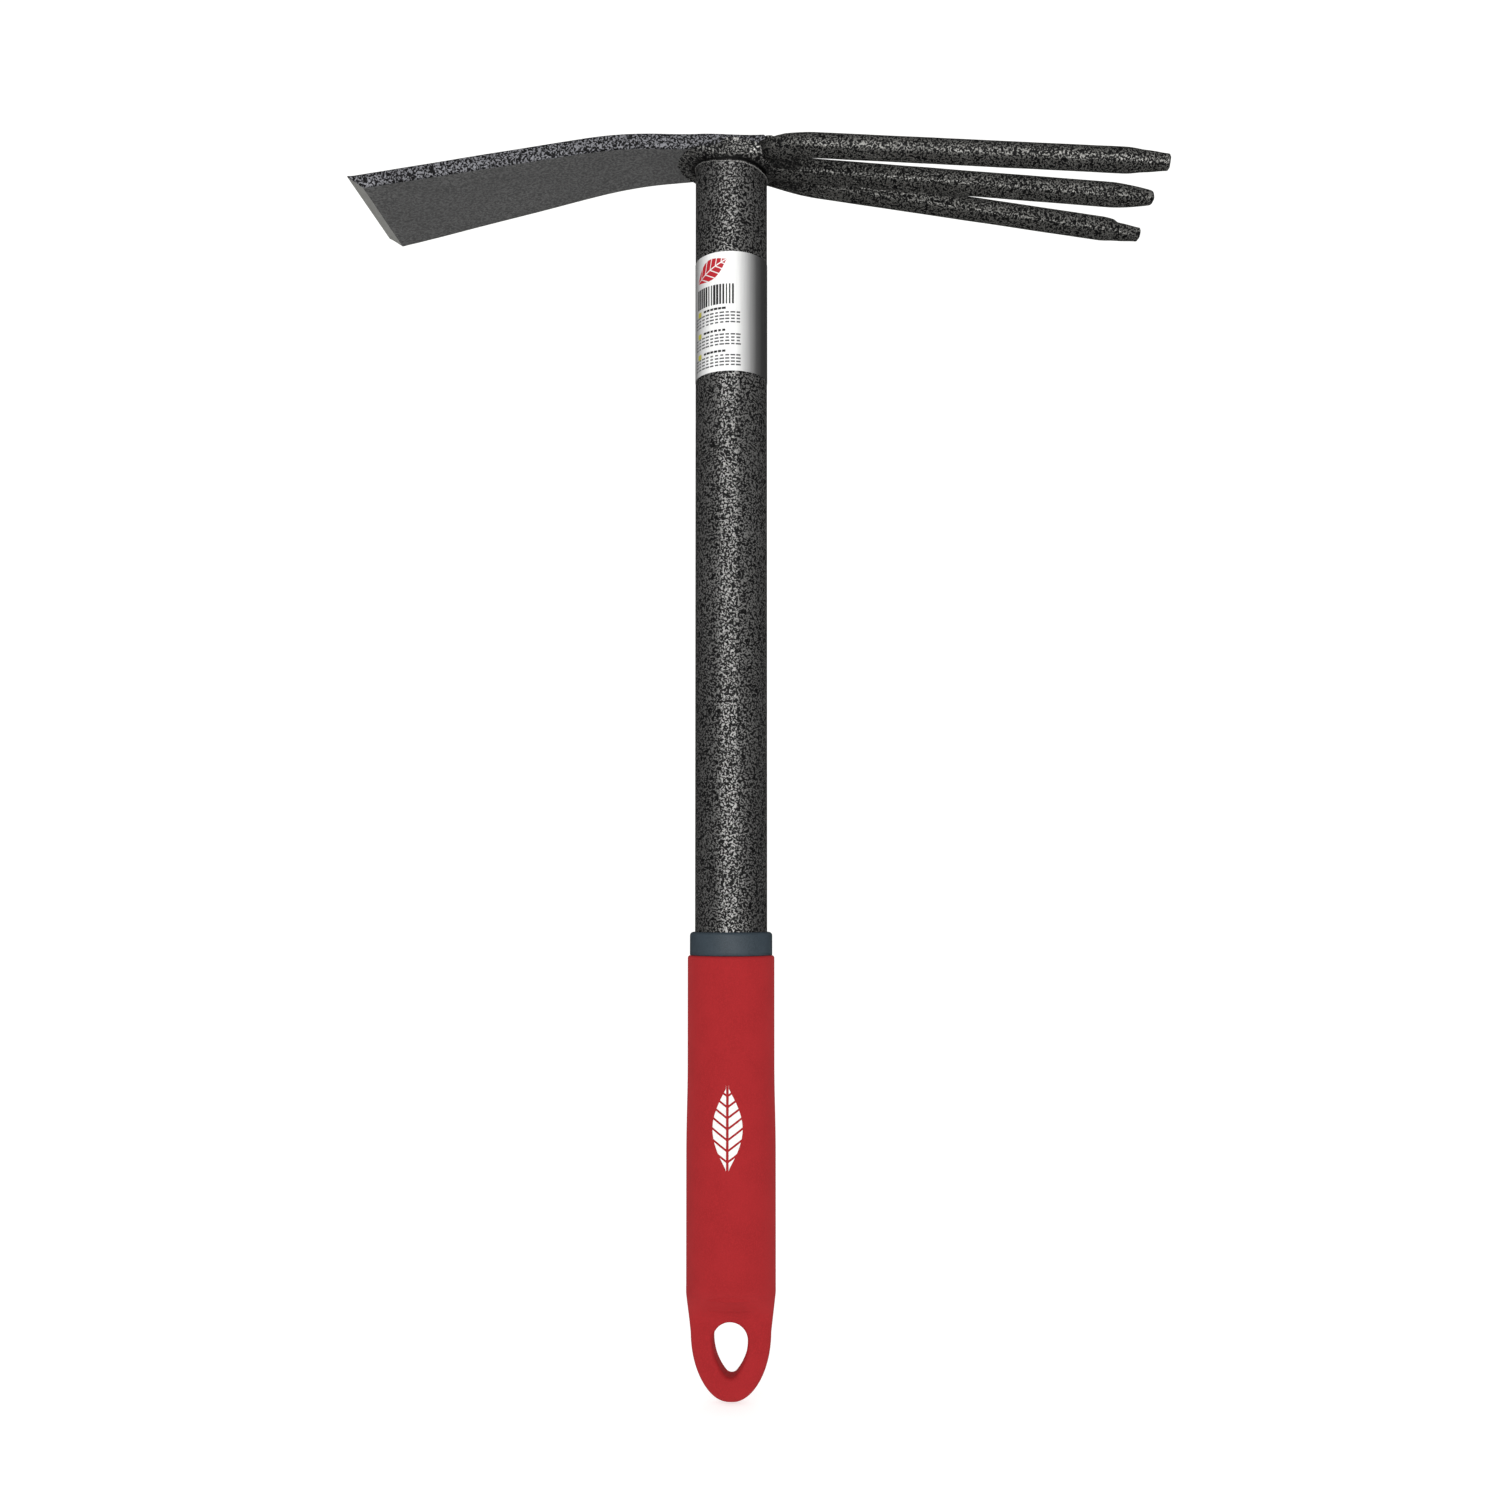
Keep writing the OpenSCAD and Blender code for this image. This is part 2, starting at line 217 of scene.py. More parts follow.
def marked(mesh, **marks):
    """Stores one number a point under each name: run, how far along the bead it lies, in metres;
    crown, how freely it may ripple; the recess shade mark, how much painted shade darkens it in a
    hollow or at a root; the highlight mark, how far a painted highlight brightens it towards silver."""
    for label, values in marks.items():
        kept = mesh.attributes.new(label, "FLOAT", "POINT")
        kept.data.foreach_set("value", np.array(values, np.float32))


def settle(o, slot, *nodes):
    """Finishes a piece: it rides on the tool and stands for its CAD nodes, which it hides. slot is not used."""
    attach(o, "root")
    if nodes:
        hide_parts(*nodes)
    return o


# ------------------------------------------------------------------ node tools
def linear(code):
    """An sRGB hex colour as linear RGBA."""
    parts = [int(code[i:i + 2], 16) / 255 for i in (1, 3, 5)]
    return (*[p / 12.92 if p <= 0.04045 else ((p + 0.055) / 1.055) ** 2.4 for p in parts], 1.0)


def per(size_mm):
    """The scale of a texture whose grains are this size, on Object coordinates in metres."""
    return 1 / (size_mm * MM)


def add(tree, kind, props=None, inputs=None):
    """Adds a node. inputs holds sockets by name or number: a socket is linked, anything else is set."""
    n = tree.nodes.new(kind)
    for key, value in (props or {}).items():
        setattr(n, key, value)
    for key, value in (inputs or {}).items():
        if isinstance(value, bpy.types.NodeSocket):
            tree.links.new(value, n.inputs[key])
        else:
            n.inputs[key].default_value = value
    return n


def finish_named(name):
    """An empty material with its shader and Object coordinates: (material, tree, shader, coordinates)."""
    m = bpy.data.materials.new(name)
    m.use_nodes = True
    tree = m.node_tree
    tree.nodes.clear()
    shader = add(tree, "ShaderNodeBsdfPrincipled")
    add(tree, "ShaderNodeOutputMaterial", inputs={"Surface": shader.outputs[0]})
    where = add(tree, "ShaderNodeTexCoord").outputs["Object"]
    return m, tree, shader, where


def fill(shader, tree, **inputs):
    """Links or sets the shader's inputs, named with _ for a space."""
    for key, value in inputs.items():
        sock = shader.inputs[key.replace("_", " ")]
        if isinstance(value, bpy.types.NodeSocket):
            tree.links.new(value, sock)
        else:
            sock.default_value = value


def ranged(tree, value, low, high, to_low=0.0, to_high=1.0):
    """value from low..high to to_low..to_high, eased."""
    return add(tree, "ShaderNodeMapRange", {"interpolation_type": "SMOOTHSTEP"}, {
        "Value": value, "From Min": low, "From Max": high, "To Min": to_low, "To Max": to_high}).outputs[0]


def blended(tree, share, a, b):
    """Colour a at share 0, b at share 1."""
    return add(tree, "ShaderNodeMix", {"data_type": "RGBA"}, {0: share, 6: a, 7: b}).outputs[2]


def relief(tree, height, depth_mm):
    """A bump whose full height is depth_mm."""
    return add(tree, "ShaderNodeBump", inputs={
        "Height": height, "Distance": depth_mm * MM, "Strength": 1.0}).outputs[0]


# ------------------------------------------------------------------ finishes
def hammered_coat(name, dark, silver, vein_mm, low, high, shine, rough, depth):
    """Black and silver vein powder coat, baked on steel: the silver flake gathers in short
    worms between black skin. The eye sees bright flecks where a light is mirrored and
    near-black between, over a softly pebbled surface. Painted shade darkens it in the hollow above
    a weld's toe and at the tines' roots, and a painted highlight brightens it towards silver along
    the toe's lip and the lit front of the bead. vein_mm is a worm's width, drawn coarse enough to show."""
    m, tree, shader, where = finish_named(name)
    drift = add(tree, "ShaderNodeTexNoise", inputs={"Vector": where, "Scale": per(2.6 * vein_mm), "Detail": 1.0})
    centred = add(tree, "ShaderNodeVectorMath", {"operation": "SUBTRACT"},
                  {0: drift.outputs["Color"], 1: (0.5, 0.5, 0.5)})
    pushed = add(tree, "ShaderNodeVectorMath", {"operation": "MULTIPLY_ADD"},
                 {0: centred.outputs[0], 1: (2.4 * vein_mm * MM,) * 3, 2: where})
    veins = add(tree, "ShaderNodeTexNoise", inputs={
        "Vector": pushed.outputs[0], "Scale": per(vein_mm), "Detail": 1.2, "Roughness": 0.55})
    fleck = ranged(tree, veins.outputs[0], low, high)
    cloud = add(tree, "ShaderNodeTexNoise", inputs={"Vector": where, "Scale": per(14), "Detail": 3.0})
    tone = ranged(tree, cloud.outputs[0], 0.3, 0.7, 0.82, 1.0)
    bright = add(tree, "ShaderNodeMath", {"operation": "MULTIPLY"}, {0: fleck, 1: tone})
    coat = blended(tree, bright.outputs[0], linear(dark), linear(silver))
    # painted shade and painted highlight, read from marks that the pieces carry: darker in hollows, brighter where
    # light falls
    soot, wear = (add(tree, "ShaderNodeAttribute", {"attribute_name": mark}).outputs["Fac"]
                  for mark in ("soot", "wear"))
    highlighted = add(tree, "ShaderNodeMix", {"data_type": "RGBA", "blend_type": "ADD"},
                 {0: wear, 6: coat, 7: coat}).outputs[2]
    highlight_to_silver = add(tree, "ShaderNodeMath", {"operation": "SUBTRACT", "use_clamp": True}, {0: wear, 1: 1.0}).outputs[0]
    shown = blended(tree, highlight_to_silver, highlighted, linear(silver))
    fill(shader, tree,
         Base_Color=blended(tree, soot, shown, linear("#070707")),
         Metallic=ranged(tree, fleck, 0.0, 1.0, 0.0, shine),
         Roughness=ranged(tree, fleck, 0.0, 1.0, rough + 0.1, rough),
         Specular_IOR_Level=0.15,
         Normal=relief(tree, veins.outputs[0], depth))
    return m


def ground_steel(name):
    """Coated steel dressed on a grinding belt: fine parallel scratches run from the blade
    towards its edge, paler than the coat around them."""
    m, tree, shader, where = finish_named(name)
    drawn = add(tree, "ShaderNodeMapping", inputs={"Vector": where, "Scale": (0.06, 1.0, 1.0)})
    lines = add(tree, "ShaderNodeTexNoise", inputs={"Vector": drawn.outputs[0], "Scale": per(0.5), "Detail": 3.0})
    patch = add(tree, "ShaderNodeTexNoise", inputs={"Vector": where, "Scale": per(5), "Detail": 2.0})
    worn = ranged(tree, patch.outputs[0], 0.35, 0.7)
    tone = blended(tree, ranged(tree, lines.outputs[0], 0.3, 0.7), linear("#858582"), linear("#a9a9a5"))
    fill(shader, tree,
         Base_Color=blended(tree, worn, tone, linear("#959591")),
         Metallic=0.3,
         Roughness=ranged(tree, lines.outputs[0], 0.3, 0.7, 0.42, 0.56),
         Normal=relief(tree, lines.outputs[0], 0.03))
    return m


def moulded_polypropylene(name):
    """Slate polypropylene from a spark-eroded mould: an even satin with a very fine grain.
    The grain is drawn at 0.4 mm, coarser than the real one, so that it shows."""
    m, tree, shader, where = finish_named(name)
    grain = add(tree, "ShaderNodeTexNoise", inputs={"Vector": where, "Scale": per(0.4), "Detail": 2.0})
    flow = add(tree, "ShaderNodeTexNoise", inputs={"Vector": where, "Scale": per(9), "Detail": 1.0})
    tone = blended(tree, ranged(tree, flow.outputs[0], 0.35, 0.65), linear("#2c373f"), linear("#323e47"))
    fill(shader, tree,
         Base_Color=blended(tree, ranged(tree, grain.outputs[0], 0.3, 0.7), tone, linear("#38444d")),
         Roughness=ranged(tree, grain.outputs[0], 0.3, 0.7, 0.42, 0.55),
         IOR=1.49,
         Normal=relief(tree, grain.outputs[0], 0.02))
    return m


def soft_elastomer(name):
    """Red thermoplastic elastomer moulded over the core: dead matt, with a fine even grain
    and hardly a highlight. The grain is drawn at 0.5 mm so that it shows."""
    m, tree, shader, where = finish_named(name)
    grain = add(tree, "ShaderNodeTexNoise", inputs={
        "Vector": where, "Scale": per(0.5), "Detail": 2.5, "Roughness": 0.6})
    cloud = add(tree, "ShaderNodeTexNoise", inputs={"Vector": where, "Scale": per(11), "Detail": 2.0})
    tone = blended(tree, ranged(tree, cloud.outputs[0], 0.3, 0.7), linear("#961d21"), linear("#9d2024"))
    fill(shader, tree,
         Base_Color=blended(tree, ranged(tree, grain.outputs[0], 0.35, 0.75), tone, linear("#a42529")),
         Roughness=ranged(tree, grain.outputs[0], 0.3, 0.7, 0.72, 0.86),
         IOR=1.45,
         Specular_IOR_Level=0.2,
         Sheen_Weight=0.1,
         Sheen_Roughness=0.5,
         Sheen_Tint=linear("#ff3a3a"),
         Normal=relief(tree, grain.outputs[0], 0.035))
    return m


# share of a turn from the film's first edge at the back, and the painted shade there: white at the front, darkening
# round to the side as the light falls off
FILM_PAINTED_SHADES = ((0.29, "#8f8f8f"), (0.345, "#cfcfcf"), (0.39, "#f3f3f2"), (0.487, "#f3f3f2"), (0.517, "#e2e2e1"),
               (0.545, "#bababa"), (0.573, "#8b8b8b"), (0.605, "#505050"), (0.64, "#343434"), (0.70, "#303030"),
               (0.76, "#8c8c8c"))


def metallised_film(name):
    """Satin polyester film, white at the front, with painted shade that greys it round to the side where the light
    falls off:
    soft sheen, faint streaks along the roll."""
    m, tree, shader, where = finish_named(name)
    around = add(tree, "ShaderNodeUVMap", {"uv_map": "wrap"})
    turn = add(tree, "ShaderNodeSeparateXYZ", inputs={0: around.outputs[0]}).outputs[0]
    # painted shade round the label, from the table above
    shade = add(tree, "ShaderNodeValToRGB", inputs={0: turn})
    stops = shade.color_ramp
    stops.elements[0].position, stops.elements[0].color = 0.0, linear("#9a9a9a")
    stops.elements[1].position, stops.elements[1].color = 1.0, linear("#9a9a9a")
    for at, code in FILM_PAINTED_SHADES:
        stops.elements.new(at).color = linear(code)
    drawn = add(tree, "ShaderNodeMapping", inputs={"Vector": where, "Scale": (1.0, 1.0, 0.05)})
    streak = add(tree, "ShaderNodeTexNoise", inputs={"Vector": drawn.outputs[0], "Scale": per(0.8), "Detail": 2.0})
    soil = ranged(tree, streak.outputs[0], 0.25, 0.7, 0.93, 1.0)
    toned = add(tree, "ShaderNodeMix", {"data_type": "RGBA", "blend_type": "MULTIPLY"},
                {0: 1.0, 6: shade.outputs[0], 7: soil})
    fill(shader, tree,
         Base_Color=toned.outputs[2],
         Roughness=ranged(tree, streak.outputs[0], 0.3, 0.7, 0.32, 0.42),
         IOR=1.55,
         Normal=relief(tree, streak.outputs[0], 0.01))
    return m


def printed_ink(name, code, edge_code, rough):
    """Screen-printed ink: flat colour with tiny pinholes and a thin, slightly uneven film."""
    m, tree, shader, where = finish_named(name)
    film = add(tree, "ShaderNodeTexNoise", inputs={"Vector": where, "Scale": per(0.7), "Detail": 3.0})
    fill(shader, tree,
         Base_Color=blended(tree, ranged(tree, film.outputs[0], 0.4, 0.75), linear(code), linear(edge_code)),
         Roughness=ranged(tree, film.outputs[0], 0.3, 0.7, rough, rough + 0.12),
         IOR=1.5,
         Normal=relief(tree, film.outputs[0], 0.01))
    return m


# dark skin, silver, vein width in mm, noise range of the veins, shine, roughness, pebble depth in mm
TUBE_COAT = hammered_coat("vein_coat_on_tube", "#09090a", "#adacaa", 0.66, 0.48, 0.63, 0.95, 0.30, 0.10)
ROD_COAT = hammered_coat("vein_coat_on_rods", "#09090a", "#a9a8a4", 0.64, 0.48, 0.64, 0.95, 0.30, 0.10)
SIDE_COAT = hammered_coat("vein_coat_on_bar_sides", "#0c0c0e", "#8f8f94", 0.66, 0.47, 0.61, 0.5, 0.40, 0.10)
# painted light: the blade's flats take a grey-skinned, calmer copy of the coat, standing in for the soft even light on
# them
PAINTED_LIGHT_FLAT_COAT = hammered_coat("vein_coat_on_blade_flats_painted_light", "#404040", "#686868", 0.85, 0.36, 0.68, 0.3, 0.55, 0.05)
WELD_COAT = hammered_coat("vein_coat_on_welds", "#0e0e0f", "#a8a7a4", 0.68, 0.49, 0.65, 0.8, 0.34, 0.10)
WEB_COAT = hammered_coat("vein_coat_on_webs", "#131313", "#757472", 0.8, 0.53, 0.68, 0.7, 0.42, 0.06)
GROUND_EDGE = ground_steel("belt_ground_edge")
SLATE = moulded_polypropylene("slate_polypropylene")
RED_GRIP = soft_elastomer("red_elastomer")
FILM_FINISH = metallised_film("satin_label_film")
RED_INK = printed_ink("red_label_ink", "#b81626", "#a81222", 0.38)
WHITE_INK = printed_ink("white_grip_ink", "#eeedea", "#e2e1de", 0.5)
BLACK_INK = printed_ink("black_label_ink", "#101012", "#1d1d1f", 0.42)
GREY_INK = printed_ink("grey_label_ink", "#4a4a4c", "#5e5e60", 0.42)
OLIVE_INK = printed_ink("olive_label_ink", "#a6a032", "#b5ae44", 0.42)


# ------------------------------------------------------------------ handle tube
def handle_tube():
    """The steel tube: a drawn tube with eased ends, open right through."""
    ease_r, inner = 0.3, TUBE_R - TUBE_WALL
    lo, hi = TUBE_LO.z, TUBE_HI.z - 0.05
    profile = [(inner, lo + ease_r), (inner + ease_r, lo), (TUBE_R - ease_r, lo), (TUBE_R, lo + ease_r)]
    profile += [(TUBE_R, z) for z in np.linspace(lo + 10, hi - 10, 38)]
    profile += [(TUBE_R, hi - ease_r), (TUBE_R - ease_r, hi), (inner + ease_r, hi), (inner, hi - ease_r)]
    profile += [(inner, z) for z in np.linspace(hi - 10, lo + 10, 6)]
    verts, faces = turned(profile + profile[:1], 144)
    return settle(piece_from("steel_tube", verts, faces, TUBE_COAT), "hammered_steel", "handle_tube")


# ------------------------------------------------------------------ hoe blade
def under(x):
    """Height of the bar's and blade's underside at x, before the ground bevel."""
    r = (BEND_TO - BEND_FROM) / math.sin(BLADE_SLOPE)
    if x > -BEND_FROM:
        return HEAD_Z
    if x > -BEND_TO:
        return HEAD_Z - r + math.sqrt(r * r - (x + BEND_FROM) ** 2)
    return HEAD_Z - r * (1 - math.cos(BLADE_SLOPE)) + (x + BEND_TO) * math.tan(BLADE_SLOPE)


def blade_section(x, points=6, across=14):
    """Ring of points round the bar or blade at x, and the height range it spans."""
    thick = BAR_T if x > -BEND_TO else BAR_T + (EDGE_T - BAR_T) * (x + BEND_TO) / (BEND_TO - BLADE_REACH)
    start = BAR_HALF + 2
    f = max(0.0, (x + start) / (start - BLADE_REACH))
    half = BAR_HALF + (EDGE_HALF - BAR_HALF) * f + 4 * BLADE_BULGE * f * (1 - f)
    top, low = under(x) + thick - END_DROOP * ease((x + 10) / 20), under(x)
    ground = -BLADE_REACH + BEVEL_RUN
    if x < ground:
        edge = under(-BLADE_REACH) + EDGE_T - EDGE_LAND
        low = under(ground) + (edge - under(ground)) * (ground - x) / BEVEL_RUN
    r = min(ARRIS, 0.45 * (top - low))
    end = max(0.0, x - (BAR_END - ARRIS)) / ARRIS  # the bar's end is eased too
    inset = ARRIS * (1 - math.sqrt(max(0.0, 1 - end * end)))
    half, top, low = half - inset, top - inset, low + inset
    ring = []
    for side_y, cz, a0 in ((1, top - r, 0), (-1, top - r, 90), (-1, low + r, 180), (1, low + r, 270)):
        ring += [(x, y, z) for y, z in arc(side_y * (half - r), cz, r, a0, a0 + 90, points)]
        if a0 in (0, 180):  # the flats between the arrises
            side = 1 if a0 == 0 else -1
            z = top if a0 == 0 else low
            ring += [(x, side * y, z) for y in np.linspace(half - r, -half + r, across)[1:-1]]
    return ring


def hoe_blade():
    """Bar and blade, one forging: eased long edges, a bend, a flare, and the ground bevel under the edge."""
    ground = -BLADE_REACH + BEVEL_RUN
    stops = [BAR_END - ARRIS * (1 - math.sin(a)) for a in np.linspace(math.pi / 2, 0, 5)]
    stops += list(np.linspace(BAR_END - 3, -BEND_FROM, 14)) + list(np.linspace(-BEND_FROM, -BEND_TO, 16))[1:]
    stops += list(np.linspace(-BEND_TO, ground + 0.3, 30))[1:] + [ground + 0.04, ground - 0.04, ground - 0.3]
    stops += list(np.linspace(ground - 1, -BLADE_REACH, 7))
    rings = [blade_section(x) for x in stops]
    for ring, x in zip(rings, stops):  # a forged face is never quite flat
        for i, (px, py, pz) in enumerate(ring):
            if -BLADE_REACH + 9 < x < -16:
                lump = (noise.noise(Vector((px / 16, py / 14, 3.0))) - 0.6) * FORGED_LUMP
                ring[i] = (px, py, pz + lump)
    verts, faces = skin(rings, "flat", "flat")
    n = len(rings[0])
    picks = []
    for i in range(len(rings) - 1):
        x = (stops[i] + stops[i + 1]) / 2
        for j in range(n):
            a, b = np.array(rings[i][j]), np.array(rings[i][(j + 1) % n])
            level = abs(b[1] - a[1]) > 2.2 * abs(b[2] - a[2])
            bevelled = x < ground - 0.02 and level and j > n // 2
            picks.append(2 if bevelled else 1 if level else 0)
    picks += [0, 2]  # the bar's end and the cutting edge
    o = piece_from("forged_hoe_blade", verts, faces, SIDE_COAT, PAINTED_LIGHT_FLAT_COAT, GROUND_EDGE,
                   picks=picks, sharp=24)
    return settle(o, "forged_head", "hoe_blade")


# ------------------------------------------------------------------ tines
def tine_path(side):
    """Centreline of a tine, from inside the weld to the tip, and its total length. side is -1, 0 or 1."""
    if side == 0:
        run = (TINE_REACH - BAR_END) / math.cos(MIDDLE_DROOP)
        xs = list(np.linspace(-ROOT_IN, run - TIP_ZONE, 26)) + list(np.linspace(run - TIP_ZONE + 0.5, run, 30))
        flat = [(x, 0.0) for x in xs]
        droop, root = MIDDLE_DROOP, MIDDLE_ROOT_Z
    else:
        bend_x = TINE_BEND_R * (math.sin(ROOT_FLARE) - math.sin(TINE_SPLAY))
        bend_y = TINE_BEND_R * (math.cos(TINE_SPLAY) - math.cos(ROOT_FLARE))
        slope = math.tan(ROOT_FLARE)
        flat = [(x, ROOT_PITCH + x * slope) for x in np.linspace(-ROOT_IN, FLARE_RUN, 5)][:-1]
        x0, y0 = FLARE_RUN, ROOT_PITCH + FLARE_RUN * slope
        for a in np.linspace(ROOT_FLARE, TINE_SPLAY, 10):
            flat.append((x0 + TINE_BEND_R * (math.sin(ROOT_FLARE) - math.sin(a)),
                         y0 + TINE_BEND_R * (math.cos(a) - math.cos(ROOT_FLARE))))
        end = (TINE_REACH - BAR_END) / math.cos(OUTER_DROOP)
        xs = list(np.linspace(x0 + bend_x, end - TIP_ZONE, 22))[1:]
        xs += list(np.linspace(end - TIP_ZONE + 0.5, end, 30))
        flat += [(x, y0 + bend_y + (x - x0 - bend_x) * math.tan(TINE_SPLAY)) for x in xs]
        flat = [(x, side * y) for x, y in flat]
        droop, root = OUTER_DROOP, OUTER_ROOT_Z
    c, s = math.cos(droop), math.sin(droop)
    return [Vector((BAR_END + x * c, y, HEAD_Z + root - x * s)) for x, y in flat]


def tip_shape(left, style):
    """Half width, half heights above and below, and squareness of a tine, left mm before its end.
    style is the tip's own: 0 a plain bullet, 1 squared, 2 squared and pressed down on its top."""
    if style:
        r = ROD_R - TIP_DRAW * ease((TIP_ZONE - left) / TIP_RUN) - 0.3 * ease((5 - left) / 5)
        rounding = 0.9
    else:
        r = ROD_R - BULLET_DRAW * min(1.0, max(0.0, (BULLET_RUN - left) / BULLET_RUN)) ** 1.7
        rounding = 1.6
    if left < rounding:
        r -= rounding * (1 - math.sqrt(max(0.0, 1 - ((rounding - left) / rounding) ** 2)))
    r = max(r, 0.02)
    above = r * (1 - 0.24 * ease((10.5 - left) / 1.8)) if style == 2 else r
    square = 2.0 + (0.9 * ease((10 - left) / 5) if style else 0.0)
    return r, above, r, square


def tine(name, side, style, node, seed):
    """One rod, bent, tapered and dressed at its tip, with slow dents of 0.06 mm."""
    path = tine_path(side)
    left = [0.0]
    for a, b in zip(path[:0:-1], path[-2::-1]):
        left.append(left[-1] + (a - b).length)
    left.reverse()
    rings, painted_root_shade, around = [], [], 40
    for i, p in enumerate(path):
        along = (path[min(i + 1, len(path) - 1)] - path[max(i - 1, 0)]).normalized()
        across = along.cross(Vector((0, 0, 1))).normalized()
        up = across.cross(along)
        wide, above, below, square = tip_shape(left[i], style)
        past = left[0] - left[i] - ROOT_IN  # mm past the bar's end
        if side:  # an outer rod is pressed flatter where it was bent
            above *= 1 - 0.3 * ease((7.5 - past) / 7)
        ring = []
        for j in range(around):
            a = 2 * math.pi * j / around
            ca, sa = math.cos(a), math.sin(a)
            k = (abs(ca) ** square + abs(sa) ** square) ** (-1 / square)
            q = p + across * (wide * k * ca) + up * ((above if sa > 0 else below) * k * sa)
            dent = (noise.noise(Vector((q.x / 9, q.y / 5, q.z / 5 + seed))) - 0.7) * 0.06
            ring.append(q + (q - p).normalized() * (dent if left[i] > 1 else 0))
        rings.append(ring)
        # painted shade: the root beside the bar's end is darkened in the colour, the outer rods more
        painted_root_shade += [ease((4.2 - past) / 3.2) * (0.85 if side else 0.5)] * around
    verts, faces = skin(rings, path[0], path[-1])
    o = piece_from(name, verts, faces, ROD_COAT, sharp=50)
    # painted shade: the point capping the root end takes full shade, the tip's point none
    marked(o.data, soot=painted_root_shade + [1.0, 0.0])
    return settle(o, "hammered_steel", node)


# ------------------------------------------------------------------ welds
def weld_ripples():
    """Geometry Nodes tree: pushes a bead's surface out into the ripples that a welder leaves at
    each step, which follow the "run" attribute along the bead, and into slow lumps."""
    tree = bpy.data.node_groups.new("weld_ripples", "GeometryNodeTree")
    face = tree.interface
    face.new_socket("Geometry", in_out="INPUT", socket_type="NodeSocketGeometry")
    for label in ("Ripple spacing", "Ripple height", "Lump size", "Lump height"):
        face.new_socket(label, in_out="INPUT", socket_type="NodeSocketFloat")
    face.new_socket("Finish", in_out="INPUT", socket_type="NodeSocketMaterial")
    face.new_socket("Geometry", in_out="OUTPUT", socket_type="NodeSocketGeometry")
    given = add(tree, "NodeGroupInput").outputs
    run = add(tree, "GeometryNodeInputNamedAttribute", {"data_type": "FLOAT"}, {"Name": "run"}).outputs[0]
    crown = add(tree, "GeometryNodeInputNamedAttribute", {"data_type": "FLOAT"}, {"Name": "crown"}).outputs[0]
    steps = add(tree, "ShaderNodeMath", {"operation": "DIVIDE"}, {0: run, 1: given["Ripple spacing"]}).outputs[0]
    phase = add(tree, "ShaderNodeMath", {"operation": "MULTIPLY"}, {0: steps, 1: 2 * math.pi}).outputs[0]
    wave = add(tree, "ShaderNodeMath", {"operation": "SINE"}, {0: phase}).outputs[0]
    wave_high = add(tree, "ShaderNodeMath", {"operation": "MULTIPLY"}, {0: wave, 1: given["Ripple height"]}).outputs[0]
    scale = add(tree, "ShaderNodeMath", {"operation": "DIVIDE"}, {0: 1.0, 1: given["Lump size"]}).outputs[0]
    lump = add(tree, "ShaderNodeTexNoise", {"noise_dimensions": "4D"},
               {"W": 7.0, "Scale": scale, "Detail": 1.0}).outputs[0]
    centred = add(tree, "ShaderNodeMath", {"operation": "SUBTRACT"}, {0: lump, 1: 0.5}).outputs[0]
    lump_high = add(tree, "ShaderNodeMath", {"operation": "MULTIPLY"},
                    {0: centred, 1: given["Lump height"]}).outputs[0]
    both = add(tree, "ShaderNodeMath", {"operation": "ADD"}, {0: wave_high, 1: lump_high}).outputs[0]
    shaped = add(tree, "ShaderNodeMath", {"operation": "MULTIPLY"}, {0: both, 1: crown}).outputs[0]
    push = add(tree, "ShaderNodeVectorMath", {"operation": "SCALE"},
               {0: add(tree, "GeometryNodeInputNormal").outputs[0], "Scale": shaped}).outputs[0]
    moved = add(tree, "GeometryNodeSetPosition", inputs={"Geometry": given["Geometry"], "Offset": push}).outputs[0]
    whole = add(tree, "GeometryNodeRealizeInstances", inputs={0: moved}).outputs[0]
    done = add(tree, "GeometryNodeSetMaterial", inputs={"Geometry": whole, "Material": given["Finish"]}).outputs[0]
    add(tree, "NodeGroupOutput", inputs={"Geometry": done})
    return tree


def grown(name, tree, values, base=None, sharp=40):
    """The plain mesh that a node tree makes from a base mesh with these inputs, as an object."""
    start = in_scene(name + "_start", base or bpy.data.meshes.new(name + "_start"))
    nodes = start.modifiers.new("nodes", "NODES")
    nodes.node_group = tree
    for item in tree.interface.items_tree:
        if item.item_type == "SOCKET" and item.in_out == "INPUT" and item.name in values:
            nodes[item.identifier] = values[item.name]
    mesh = worked(start)
    bpy.data.objects.remove(start)
    finish = mesh.materials[len(mesh.materials) - 1]  # any before it are empty slots of the base
    mesh.materials.clear()
    mesh.materials.append(finish)
    mesh.polygons.foreach_set("material_index", [0] * len(mesh.polygons))
    return placed(name, mesh, sharp)


RIPPLES = weld_ripples()
BEAD_LEG, BEAD_REACH = 5.3, 3.4  # the tube bead's leg down the tube, and its least reach along the bar
BEAD_CLIMB = 3.1  # how far it climbs the bar's sides
LIP_RISE, HOLLOW_DEPTH = 0.3, 1.1


